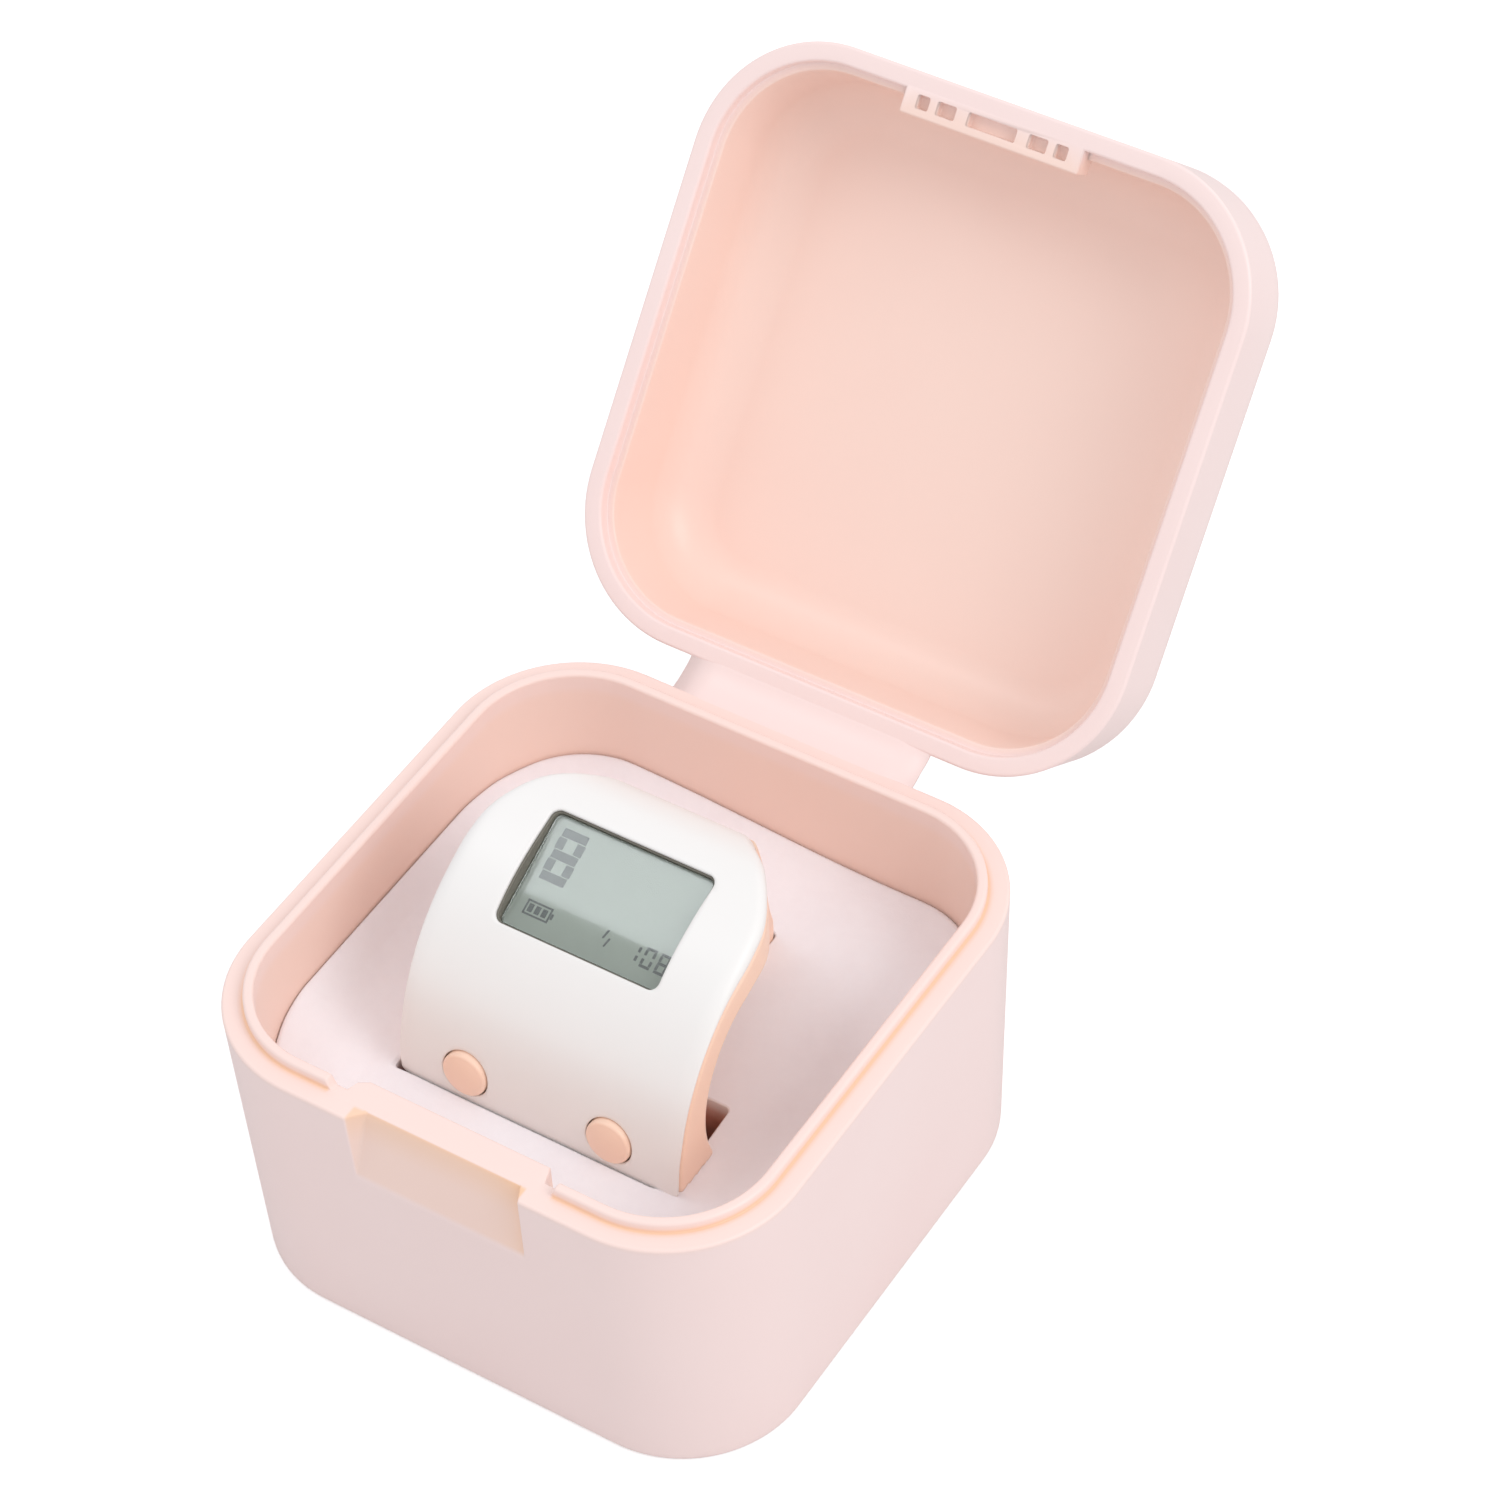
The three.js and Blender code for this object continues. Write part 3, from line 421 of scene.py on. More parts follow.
def lid_profile(column):
    """The closed lid's section: from its top down the outside, over the rim and up the inside."""
    top = lid_rim + lid_high
    inner_round = lid_edge - lid_thick
    inner_top = top - lid_thick
    pairs = []
    for a in quarter(14, 90, 0):
        pairs.append((lid_draft + lid_edge * (1 - math.cos(a)), top - lid_edge * (1 - math.sin(a))))
    for z in lid_outer_levels:
        pairs.append((lid_draft * (z - lid_rim) / (top - lid_edge - lid_rim), z))
    for a in quarter(5, 90, 0):
        pairs.append((edge_round * (1 - math.sin(a)), lid_rim + edge_round * (1 - math.cos(a))))
    pairs[-1] = (edge_round, lid_rim)
    pairs.append((0.8, lid_rim))
    for a in quarter(4):
        pairs.append((groove_in - edge_round * (1 - math.sin(a)), lid_rim + edge_round * (1 - math.cos(a))))
    pairs.append((groove_in, groove_top - 0.3))
    for a in quarter(3):
        pairs.append((groove_in + 0.12 * (1 - math.cos(a)), groove_top - 0.12 * (1 - math.sin(a))))
    for a in quarter(4):
        pairs.append((step_in - 0.2 * (1 - math.sin(a)), groove_top + 0.2 * (1 - math.cos(a))))
    for z in lid_inner_levels:
        pairs.append((step_in + lid_draft * (z - groove_top) / (inner_top - inner_round - groove_top), z))
    for a in quarter(14):
        pairs.append((step_in + lid_draft + inner_round * (1 - math.cos(a)),
                      inner_top - inner_round * (1 - math.sin(a))))
    return pairs


points, faces = swept(case_columns(), lid_profile)
case_lid = piece_of("lid", points, faces)


def box_points(x0, x1, y0, y1, z0, z1):
    return [(x, y, z) for x in (x0, x1) for y in (y0, y1) for z in (z0, z1)]


box_faces = [(0, 1, 3, 2), (4, 6, 7, 5), (0, 4, 5, 1), (2, 3, 7, 6), (0, 2, 6, 4), (1, 5, 7, 3)]


def eased_box(name, x0, x1, y0, y1, z0, z1, ease, steps=3):
    """A block with its edges eased, in millimetres."""
    block = piece_of(name, box_points(x0, x1, y0, y1, z0, z1), box_faces)
    bevel = block.modifiers.new("ease", "BEVEL")
    bevel.width, bevel.segments, bevel.limit_method = ease * MM, steps, "NONE"
    return baked(block)


pull_half, pull_thick, pull_wall, pocket_deep = 8.4, 2.4, 0.7, 1.0
pull_front = -case_deep / 2 + groove_in - 0.5
pull_back = -case_deep / 2 + groove_in + 2.05
pull = eased_box("pull", latch_x - pull_half, latch_x + pull_half, pull_front, pull_back,
                 lid_rim, lid_rim + pull_thick, ease=0.22)
pocket_front, pocket_back = -case_deep / 2 + ledge, pull_back - pull_wall
for along, wide in ((0, 4.6), (-4.3, 1.8), (4.3, 1.8), (-6.5, 1.2), (6.5, 1.2)):
    pocket = eased_box("pocket", latch_x + along - wide / 2, latch_x + along + wide / 2,
                       pocket_front, pocket_back, lid_rim - 2, lid_rim + pocket_deep, ease=0.18, steps=2)
    cut(pull, pocket)
cut(case_lid, pull, "UNION")
case_lid.data.transform(lid_open)
even_shading(case_lid)


def lid_painted_bounce(x, y, z):
    """Painted bounce light on the inside of the dome, which is told from its outside by how deep a place
    lies under the outside.
    """
    y, z = y - hinge_line.y / MM, z - hinge_line.z / MM
    back_y = hinge_line.y / MM + math.cos(-open_turn) * y - math.sin(-open_turn) * z
    back_z = hinge_line.z / MM + math.sin(-open_turn) * y + math.cos(-open_turn) * z
    inset = square_inset(x, back_y)
    run = np.clip((lid_edge + lid_draft - inset) / lid_edge, 0, 1)
    outside = lid_rim + lid_high - lid_edge * (1 - np.sqrt(1 - run * run))
    return 0.3 * soft_step(inset, 1.5, 2.4) * soft_step(outside - back_z, 0.5, 1.0)


mark_painted_light(case_lid, lid_painted_bounce)
case_lid.data.materials.append(case_pink)
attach(case_lid, "lid")
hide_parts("case_lid")

# Hinge web. The base and lid are joined by one thin strip of the same plastic, moulded with them
# and thinned along its middle so that it bends there.
web_half, web_root, web_lead = 11.7, 0.5, 0.7
web_thick, web_thinned = 0.25, 0.13
web_along, web_across = 30, 8
rim_from = Vector((0, case_deep / 2, base_high))
lid_turn = Matrix.Rotation(open_turn, 3, "X")
rim_to = hinge_line / MM + lid_turn @ (Vector((0, case_deep / 2, lid_rim)) - hinge_line / MM)
into_lid = lid_turn @ Vector((0, -1, 0))
web_bends = [rim_from + Vector((0, -web_root, 0)), rim_from + Vector((0, web_lead, 0)),
             rim_to - into_lid * web_lead, rim_to + into_lid * web_root]
web_points, web_faces = [], []


def web_top(t):
    """The upper side of the web, which leaves both rims flush with their faces."""
    a, b, c, d = web_bends
    return (1 - t) ** 3 * a + 3 * (1 - t) ** 2 * t * b + 3 * (1 - t) * t * t * c + t ** 3 * d


for i in range(web_along + 1):
    t = i / web_along
    run = (web_top(t + 0.01) - web_top(t - 0.01)).normalized()
    rise = Vector((0, -run.z, run.y))
    thick = web_thick - web_thinned * math.exp(-((t - 0.5) / 0.2) ** 2)
    dive = 0.08 * ((1 - t) ** 24 + t ** 24)
    reach = web_top(t) - rise * (thick - 0.01 + dive)
    for side in (-1, 1):
        for j in range(web_across + 1):
            s = -1 + 2 * j / web_across
            ease = 1 - max(0.0, abs(s) - 0.96) / 0.04 * 0.5
            web_points.append((web_half * s, reach.y + rise.y * thick * side * ease,
                               reach.z + rise.z * thick * side * ease))
ring_count = 2 * (web_across + 1)
for i in range(web_along):
    loop = list(range(web_across + 1)) + list(range(ring_count - 1, web_across, -1))
    for k in range(ring_count):
        a, b = loop[k], loop[(k + 1) % ring_count]
        web_faces.append((i * ring_count + a, i * ring_count + b,
                          (i + 1) * ring_count + b, (i + 1) * ring_count + a))
for i in (0, web_along):
    web_faces.append([i * ring_count + k for k in loop])
hinge_web = piece_of("hinge_strip", web_points, web_faces)
even_shading(hinge_web)
hinge_web.data.materials.append(case_pink)
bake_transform(hinge_web)
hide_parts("hinge_web")

# Flocked insert. A block of soft foam with a coat of short pale fibres, pressed into the tub, so
# it swells up a little where the wall squeezes it. The ring stands in a slot cut into it.
pad_low, pad_top, pad_gap, pad_round = 1.9, 18.45, 0.3, 0.7
slot_low = 10.75
slot_left, slot_right, slot_right_back, slot_front, slot_back = -13.35, 12.95, 12.45, -13.87, -3.6
band_left, band_right, band_back = -4.7, 5.75, 14.2


def turned_corner(corner, before, after, radius, steps):
    """Points of a rounded corner between two straight sides that meet at a right angle."""
    corner, before, after = Vector(corner), Vector(before), Vector(after)
    to_before, to_after = (before - corner).normalized(), (after - corner).normalized()
    centre = corner + (to_before + to_after) * radius
    return [tuple(centre - to_after * radius * math.cos(a) - to_before * radius * math.sin(a))
            for a in quarter(steps)]


def slot_outline(grow):
    """The slot seen from above: a wide part for the leg, a narrow one for the band."""
    turns = {0: 0.4 + grow, 1: 1.6 + grow, 3: max(0.9 - grow, 0.15), 6: max(0.9 - grow, 0.15)}
    x0, x1, y0, y1 = slot_left - grow, slot_right + grow, slot_front - grow, slot_back + grow
    b0, b1, y2 = band_left - grow, band_right + grow, band_back + grow
    path = [(x0, y0), (x1, y0), (slot_right_back + grow, y1), (b1, y1),
            (b1, y2), (b0, y2), (b0, y1), (x0, y1)]
    outline = []
    for i, corner in enumerate(path):
        after = path[(i + 1) % len(path)]
        outline += turned_corner(corner, path[i - 1], after, turns.get(i, 0.5 + grow), 6)
    return outline


def lofted(levels):
    """Points and faces through outlines of equal count, each a list of (x, y, z), with caps."""
    count = len(levels[0])
    points = [p for level in levels for p in level]
    faces = []
    for k in range(len(levels) - 1):
        for i in range(count):
            j = (i + 1) % count
            faces.append((k * count + i, k * count + j, (k + 1) * count + j, (k + 1) * count + i))
    faces.append(list(reversed(range(count))))
    faces.append([(len(levels) - 1) * count + i for i in range(count)])
    return points, faces


pad_columns = case_columns(corner_steps=20, side_step=1.0)
pad_levels = []
foot_inset = ledge + lip_thick + inner_draft + pad_gap
top_inset = ledge + lip_thick + inner_draft * (1 - pad_top / base_high)
pad_foot_ease = 0.4
levels = [(foot_inset + pad_foot_ease, pad_low), (foot_inset, pad_low + pad_foot_ease),
          (foot_inset - 0.1, 8.0), (top_inset + 0.05, 15.0)]
for a in quarter(6):
    levels.append((top_inset + 0.05 + pad_round * (1 - math.cos(a)),
                   pad_top - pad_round * (1 - math.sin(a))))
for inset in (1.4, 2.2, 3.2, 4.4, 5.8, 7.4):
    levels.append((top_inset + inset, pad_top))
for inset, height in levels:
    pad_levels.append([(x - nx * inset, y - ny * inset, height) for x, y, nx, ny in pad_columns])
points, faces = lofted(pad_levels)
insert = piece_of("flocked_pad", points, faces)
slot_levels = [[(x, y, z) for x, y in slot_outline(0)] for z in (slot_low, 14, 16, 17, 17.7)]
slot_round = 0.18
for a in quarter(5, 0, 78):
    slot_levels.append([(x, y, pad_top - slot_round * (1 - math.sin(a)))
                        for x, y in slot_outline(slot_round * (1 - math.cos(a)))])
slot_levels.append([(x, y, pad_top + 6)
                    for x, y in slot_outline(slot_round * (1 - math.cos(math.radians(78))) + 0.3)])
points, faces = lofted(slot_levels)
cut(insert, piece_of("slot", points, faces))
insert_mesh = insert.data
grid = bmesh.new()
grid.from_mesh(insert_mesh)
grid_reach, grid_step = 22.3, 1.4
for axis in (0, 1):
    for at in np.arange(-grid_reach, grid_reach + 0.1, grid_step):
        through_point, across = [0, 0, 0], [0, 0, 0]
        through_point[axis], across[axis] = float(at) * MM, 1
        bmesh.ops.bisect_plane(grid, geom=grid.verts[:] + grid.edges[:] + grid.faces[:],
                               plane_co=through_point, plane_no=across)
grid.to_mesh(insert_mesh)
grid.free()
insert_mesh.polygons.foreach_set("use_smooth", [True] * len(insert_mesh.polygons))


def slot_painted_shade(x, y, z):
    """Painted shade in the slot: 1 deep in the slot, where only light from the warm parts arrives, and 0 at
    its top edge.
    """
    leg = (x > slot_left - 0.1) & (x < slot_right + 0.1) & (y > slot_front - 0.1) & (y < slot_back + 0.1)
    band = (x > band_left - 0.1) & (x < band_right + 0.1) & (y > slot_back - 0.2) & (y < band_back + 0.1)
    return soft_step(pad_top - 0.1 - z, 0.1, 2.0) * (leg | band) * (z > slot_low - 0.1)


mark_painted_light(insert, slot_painted_shade)


def pad_rise(x, y):
    """How much higher the squeezed foam stands: most along the left wall, and less round the
    corner behind it, along the slot's front and all round."""
    left_rise, corner_rise, edge_rise, front_rise = 3.4, 1.7, 0.25, 0.5
    from_left = x + case_wide / 2 - top_inset
    along = soft_step(20 - np.abs(y + 1), 0, 9)
    left = left_rise * np.exp(-np.maximum(from_left, 0) / 3.2) * along
    inset = square_inset(x, y) - top_inset
    corner = (corner_rise * np.exp(-np.maximum(inset, 0) / 3.0) * soft_step(12 - x, 0, 28)
              * soft_step(y, 4, 14) * (1 - along))
    all_round = edge_rise * np.exp(-np.maximum(inset, 0) / 1.6)
    from_front = np.maximum(np.abs(y - slot_front) - 0.3, 0)
    front = front_rise * np.exp(-from_front / 2.5) * soft_step(15.5 - np.abs(x), 0, 4)
    return left + corner + all_round + front


for vertex in insert_mesh.vertices:
    x, y, z = vertex.co / MM
    share = float(soft_step(z, 11.0, pad_top))
    vertex.co.z += float(pad_rise(x, y)) * share * MM
even_shading(insert)


def flock_material(name, colour, deeper):
    """Short fibres: matt, with a soft sheen at grazing angles and a felted, uneven height."""
    material, tree, shader = blank_material(name)
    place = add(tree, "ShaderNodeNewGeometry")
    fibres = add(tree, "ShaderNodeTexNoise", Scale=5200.0, Detail=3.0, Roughness=0.7)
    tufts = add(tree, "ShaderNodeTexNoise", Scale=900.0, Detail=4.0, Roughness=0.6)
    patches = add(tree, "ShaderNodeTexNoise", Scale=120.0, Detail=3.0, Roughness=0.5)
    tone = add(tree, "ShaderNodeMix", data_type="RGBA")
    tone.inputs["A"].default_value = srgb(*colour)
    tone.inputs["B"].default_value = srgb(*deeper)
    mottled = add(tree, "ShaderNodeMath", operation="MULTIPLY_ADD")
    mottled.inputs[1].default_value = 0.6
    height = add(tree, "ShaderNodeMath", operation="MULTIPLY_ADD")
    height.inputs[1].default_value = 0.5
    bump = add(tree, "ShaderNodeBump", Strength=0.6, Distance=0.05 * MM)
    for noise in (fibres, tufts, patches):
        tree.links.new(place.outputs["Position"], noise.inputs["Vector"])
    patchy = add(tree, "ShaderNodeMapRange", From_Min=0.35, From_Max=0.7, To_Min=0.0, To_Max=0.5)
    tree.links.new(patches.outputs["Fac"], patchy.inputs["Value"])
    tree.links.new(tufts.outputs["Fac"], mottled.inputs[0])
    tree.links.new(patchy.outputs["Result"], mottled.inputs[2])
    tree.links.new(mottled.outputs["Value"], tone.inputs["Factor"])
    # Painted shade: deep in the slot the fibres' colour is multiplied down to a dull red-brown, as far as
    # the stored mask says.
    mark = add(tree, "ShaderNodeAttribute", attribute_name="painted_bounce_shade")
    deep = add(tree, "ShaderNodeMix", data_type="RGBA", blend_type="MULTIPLY")
    deep.inputs["B"].default_value = srgb(214, 150, 130)
    tree.links.new(mark.outputs["Fac"], deep.inputs["Factor"])
    tree.links.new(tone.outputs["Result"], deep.inputs["A"])
    tree.links.new(deep.outputs["Result"], shader.inputs["Base Color"])
    tree.links.new(fibres.outputs["Fac"], height.inputs[0])
    tree.links.new(tufts.outputs["Fac"], height.inputs[2])
    tree.links.new(height.outputs["Value"], bump.inputs["Height"])
    tree.links.new(bump.outputs["Normal"], shader.inputs["Normal"])
    shader.inputs["Roughness"].default_value = 0.95
    shader.inputs["Specular IOR Level"].default_value = 0.15
    shader.inputs["Sheen Weight"].default_value = 0.35
    shader.inputs["Sheen Roughness"].default_value = 0.5
    shader.inputs["Sheen Tint"].default_value = srgb(255, 245, 245)
    return material


insert.data.materials.append(flock_material("pale_flock", (252, 250, 254), (246, 241, 245)))
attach(insert, "case")
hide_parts("flocked_insert")

# Ring shell. The body of the ring, moulded in peach plastic: the front leg that holds the works,
# the crown, and a narrower rear leg and band below, round a bore with flared mouths.
ring_at = Vector((0.5, 0.6, 22.5))
bore, flare, flare_long, ring_half = 9.25, 0.3, 2.0, 13.4
cover_thick, cover_gap = 1.2, 0.15
cover_front_end, cover_rear_end = -6.2, 9.7


def through(points, steps):
    """A smooth curve through the points, as a list of points."""
    p = [np.array(q, float) for q in points]
    out = []
    for i in range(len(p) - 1):
        a, b, c, d = p[max(i - 1, 0)], p[i], p[i + 1], p[min(i + 2, len(p) - 1)]
        for k in range(steps):
            t = k / steps
            out.append(0.5 * (2 * b + (c - a) * t + (2 * a - 5 * b + 4 * c - d) * t * t
                              + (3 * b - a - 3 * c + d) * t ** 3))
    out.append(p[-1])
    return np.array(out)


side_view = through([
    (-14.35, -4.2), (-13.93, -0.4), (-11.95, 5), (-8.35, 9.8), (-4.5, 12.7), (0.5, 14.52), (5, 15.2),
    (8.7, 13.0), (11.1, 7.95), (12.2, 1.2), (13.4, -3.8), (11.9, -8.05), (6.8, -11.05), (0, -11.45),
    (-7.05, -11.2), (-12.65, -8.85), (-14.35, -4.2)], 24)[:-1]
plan_edge = through([(13.4, -16.35), (13.4, -6), (13.4, -2), (12.75, 1.2), (10.35, 5), (7.2, 8.3),
                     (5.8, 11.9), (5.2, 15.4)], 20)
leg_edge = through([(5, -13.45), (5, -9.6), (6.2, -8.1), (10.9, -6.0), (12.9, -4.2), (13.4, -1.8),
                    (13.4, 17.55)], 20)
rear_edge = through([(5, -13.45), (5.2, -4.5), (5.7, -1), (6.8, 2.5), (10.2, 5.5), (13.4, 8.2),
                     (13.4, 17.55)], 20)


def side_view_reach(inset):
    """The distance from the bore's axis to the outside, less the inset, as a function of the
    angle round the axis (0 towards the hinge, a quarter turn straight up)."""
    tangent = np.roll(side_view, -1, 0) - np.roll(side_view, 1, 0)
    tangent /= np.linalg.norm(tangent, axis=1)[:, None]
    normal = np.stack([-tangent[:, 1], tangent[:, 0]], 1)
    if (normal * side_view).sum() < 0:
        normal = -normal
    moved = side_view - normal * inset
    angle = np.arctan2(moved[:, 1], moved[:, 0]) % (2 * math.pi)
    order = np.argsort(angle)
    return lambda a: float(np.interp(a % (2 * math.pi), angle[order], np.hypot(*moved.T)[order],
                                     period=2 * math.pi))


def half_width(y, z):
    """How wide the ring is, to each side of its middle, at a place seen from the side."""
    from_plan = np.interp(y, plan_edge[:, 1], plan_edge[:, 0])
    edge = leg_edge if y < -4 else rear_edge
    return float(min(from_plan, np.interp(z, edge[:, 1], edge[:, 0])))


def bore_reach(x):
    """The bore's radius at a distance x from the ring's middle."""
    start = ring_half - flare_long
    t = max(0.0, abs(x) - start) / flare_long
    return bore + flare * t ** 1.9


def bend(a, corner, b, steps):
    """A round corner from a to b."""
    a, corner, b = (np.array(p, float) for p in (a, corner, b))
    one, two = a + (corner - a) * 0.56, b + (corner - b) * 0.56
    return [tuple((1 - t) ** 3 * a + 3 * (1 - t) ** 2 * t * one + 3 * (1 - t) * t * t * two + t ** 3 * b)
            for t in [i / steps for i in range(steps + 1)]]


def half_section(angle, inner, outer, edge, inner_edge=0.35, side_steps=9, top_steps=14, bend_steps=7):
    """Half of a section through the bore's axis as (x, distance from the axis), from the middle of
    the inside out to the middle of the outside. inner(x) and outer(x) are distances."""
    co, si = math.cos(angle), math.sin(angle)
    width_at = lambda reach: half_width(reach * co, reach * si)
    x_in = width_at(inner(0))
    for attempt in range(4):
        x_in = width_at(inner(x_in))
    x_out = width_at(outer)
    side = [(width_at(s), s) for s in np.linspace(inner(x_in), outer, 24)]
    edge = min(edge, 0.42 * (outer - inner(x_in)))
    span = np.array(side)
    at = lambda s: (float(np.interp(s, span[:, 1], span[:, 0])), s)
    low, high = inner(x_in) + inner_edge, outer - edge
    section = [(x, inner(x)) for x in np.linspace(0, x_in - inner_edge, top_steps)]
    section += bend(section[-1], (x_in, inner(x_in)), at(low), 4)[1:]
    section += [at(s) for s in np.linspace(low, high, side_steps)][1:]
    section += bend(at(high), (x_out, outer), (x_out - edge, outer), bend_steps)[1:]
    section += [(x, outer) for x in np.linspace(x_out - edge, 0, top_steps)][1:]
    return section


def ring_body(name, angles, half_at, closed):
    """A body swept round the bore's axis: half_at(angle) gives half of each section."""
    points, rows = [], 0
    for angle in angles:
        half = half_at(angle)
        loop = half + [(-x, s) for x, s in reversed(half[1:-1])]
        rows = len(loop)
        for x, s in loop:
            points.append((ring_at.x + x, ring_at.y + s * math.cos(angle), ring_at.z + s * math.sin(angle)))
    faces, count = [], len(angles)
    for c in range(count if closed else count - 1):
        following = (c + 1) % count
        for r in range(rows):
            q = (r + 1) % rows
            faces.append((c * rows + r, following * rows + r, following * rows + q, c * rows + q))
    if not closed:
        faces.append([r for r in range(rows)])
        faces.append([(count - 1) * rows + r for r in reversed(range(rows))])
    return piece_of(name, points, faces)


outer_reach = side_view_reach(0)
leg_skin = 0.5


def under_cover(gap):
    """The reach under the cover, which is moulded thinner down the leg, less a gap."""
    thick, thin = side_view_reach(cover_thick + gap), side_view_reach(leg_skin + gap)
    share = lambda a: float(soft_step(a, math.radians(98), math.radians(145)))
    return lambda a: thick(a) * (1 - share(a)) + thin(a) * share(a)


seat_reach = under_cover(cover_gap)


def angle_where(test, start, end):
    """The angle at which the test turns from true to false."""
    for attempt in range(40):
        middle = (start + end) / 2
        start, end = (middle, end) if test(middle) else (start, middle)
    return (start + end) / 2


front_end = angle_where(lambda a: outer_reach(a) * math.sin(a) > cover_front_end,
                        math.pi, 1.25 * math.pi)
rear_end = angle_where(lambda a: outer_reach(a) * math.cos(a) < cover_rear_end,
                       0.4 * math.pi, 0.15 * math.pi)
mean_reach, sharp_turn = 13, 0.0008
gap_turn = cover_gap / mean_reach


def shell_half(angle):
    """Half of the shell's section, which lies lower where the cover goes over it."""
    turn = angle % (2 * math.pi)
    covered = rear_end - gap_turn < turn < front_end + gap_turn
    reach = seat_reach(turn) if covered else outer_reach(turn)
    return half_section(turn, bore_reach, reach, 0.35 if covered else 0.5)


step = math.radians(1.5)
turns = [i * step for i in range(240)]
turns += [rear_end - gap_turn - sharp_turn, rear_end - gap_turn + sharp_turn,
          front_end + gap_turn - sharp_turn, front_end + gap_turn + sharp_turn]
ring_shell = ring_body("ring_body", sorted(turns), shell_half, True)


def square_outline(wide, long, corner, steps=5, grow=0.0, between=0):
    """A rounded rectangle about the origin, with some points between its corners."""
    hx, hy, r = wide / 2 + grow, long / 2 + grow, corner + grow
    outline, signs = [], ((1, 1), (-1, 1), (-1, -1), (1, -1))
    for k, (sx, sy) in enumerate(signs):
        for i in range(steps + 1):
            a = math.pi / 2 * (k + i / steps)
            outline.append((sx * (hx - r) + r * math.cos(a), sy * (hy - r) + r * math.sin(a)))
        (x, y), (nx, ny) = outline[-1], signs[(k + 1) % 4]
        to_x, to_y = nx * (hx - r) + r * math.cos(a), ny * (hy - r) + r * math.sin(a)
        outline += [(x + (to_x - x) * i / (between + 1), y + (to_y - y) * i / (between + 1))
                    for i in range(1, between + 1)]
    return outline


face_tilt, face_shift, face_level = math.radians(24.8), 3.1, 12.8
leg_tilt, leg_face = math.radians(82), 13.77
on_face = (Matrix.Translation(ring_at * MM) @ Matrix.Rotation(face_tilt, 4, "X")
           @ Matrix.Translation(Vector((0, face_shift, face_level)) * MM))
on_leg = Matrix.Translation(ring_at * MM) @ Matrix.Rotation(leg_tilt, 4, "X")


def level_prism(name, outline, low, high, place, x=0.0, y=0.0):
    """A plate drawn level between two heights and then laid in its place."""
    points, faces = lofted([[(px + x, py + y, z) for px, py in outline] for z in (low, high)])
    return piece_of(name, points, faces, place)


def circle(radius, count=40):
    return [(radius * math.cos(2 * math.pi * i / count), radius * math.sin(2 * math.pi * i / count))
            for i in range(count)]


board_wide, board_long, board_corner, board_under = 21.4, 13.2, 3, -2.97
part_clear, pocket_top = 0.12, 6
cell_wide, cell_long, cell_deep, cell_along = 15, 4.8, 2.2, 5.6
chip_row_wide, chip_row_long, chip_row_deep, chip_row_along = 15.2, 3.2, 0.8, 1.2
button_board_wide, button_board_long, button_board_under, button_board_along = 21, 6.4, 9.85, -1.5
button_half_space, button_along, button_radius, button_clear = 6.9, -2.9, 2.05, 0.13
seat_low, seat_grow, leg_top = 12.1, 0.6, 18
pin_radius, pin_half_space, pin_clear, pin_hole_low, pin_hole_top = 0.8, 2.5, 0.1, 8, 10.5


def cut_pocket(outline, low, high, place, x=0.0, y=0.0):
    cut(ring_shell, level_prism("pocket", outline, low, high, place, x, y))


cut_pocket(square_outline(board_wide, board_long, board_corner, grow=part_clear),
           board_under - 0.1, pocket_top, on_face)
cut_pocket(square_outline(cell_wide, cell_long, 0.8, grow=part_clear),
           board_under - cell_deep - 0.1, pocket_top, on_face, y=cell_along)
cut_pocket(square_outline(chip_row_wide, chip_row_long, 0.3),
           board_under - chip_row_deep, board_under + 1, on_face, y=chip_row_along)
cut_pocket(square_outline(button_board_wide, button_board_long, 0.8, grow=part_clear),
           button_board_under, leg_top, on_leg, y=button_board_along)
for side in (-1, 1):
    cut_pocket(circle(button_radius + seat_grow), seat_low, leg_top, on_leg,
               side * button_half_space, button_along)
    cut_pocket(circle(pin_radius + pin_clear, 24), pin_hole_low, pin_hole_top, on_leg,
               side * pin_half_space)
even_shading(ring_shell)
peach = moulded_plastic("peach_plastic", (255, 222, 200), (254, 217, 194), 0.37)
ring_shell.data.materials.append(peach)
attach(ring_shell, "ring")
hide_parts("ring_shell")

# Ring cover. An off-white moulded skin over the front leg, the sloping face and the crown, with
# rounded edges, a window for the display and two holes for the buttons. It clips over the shell.
cover_under = under_cover(0)


def cover_edge(angle):
    """The edges are crisper over the crown than down the leg."""
    return 1.0 + 0.3 * float(soft_step(abs(angle - math.radians(66)), math.radians(20), math.radians(55)))


def cover_half(angle):
    """Half of the cover's section, from the middle of its underside to the middle of its top."""
    outer, under = outer_reach(angle), cover_under(angle)
    co, si = math.cos(angle), math.sin(angle)
    width_at = lambda reach: half_width(reach * co, reach * si)
    edge = cover_edge(angle)
    foot = min(0.25, edge / 4)
    x_under, x_out = width_at(under), width_at(outer)
    section = [(x, under) for x in np.linspace(0, x_under - foot, 16)]
    section += bend(section[-1], (x_under, under), (width_at(under + foot), under + foot), 3)[1:]
    section += bend(section[-1], (x_out, outer - 0.1), (x_out - edge, outer), 10)[1:]
    section += [(x, outer) for x in np.linspace(x_out - edge, 0, 22)][1:]
    return section


cover_turns = np.linspace(rear_end, front_end, 118)
ring_cover = ring_body("cover", list(cover_turns), cover_half, False)


def face_height(v):
    """How high the outside stands over the level plane of the face, at v along its slope."""
    local = []
    for y, z in side_view:
        p = Matrix.Rotation(-face_tilt, 3, "X") @ Vector((0, y, z))
        local.append((p.y - face_shift, p.z - face_level))
    local = np.array([p for p in local if p[1] > -6])
    order = np.argsort(local[:, 0])
    return float(np.interp(v, local[order, 0], local[order, 1]))


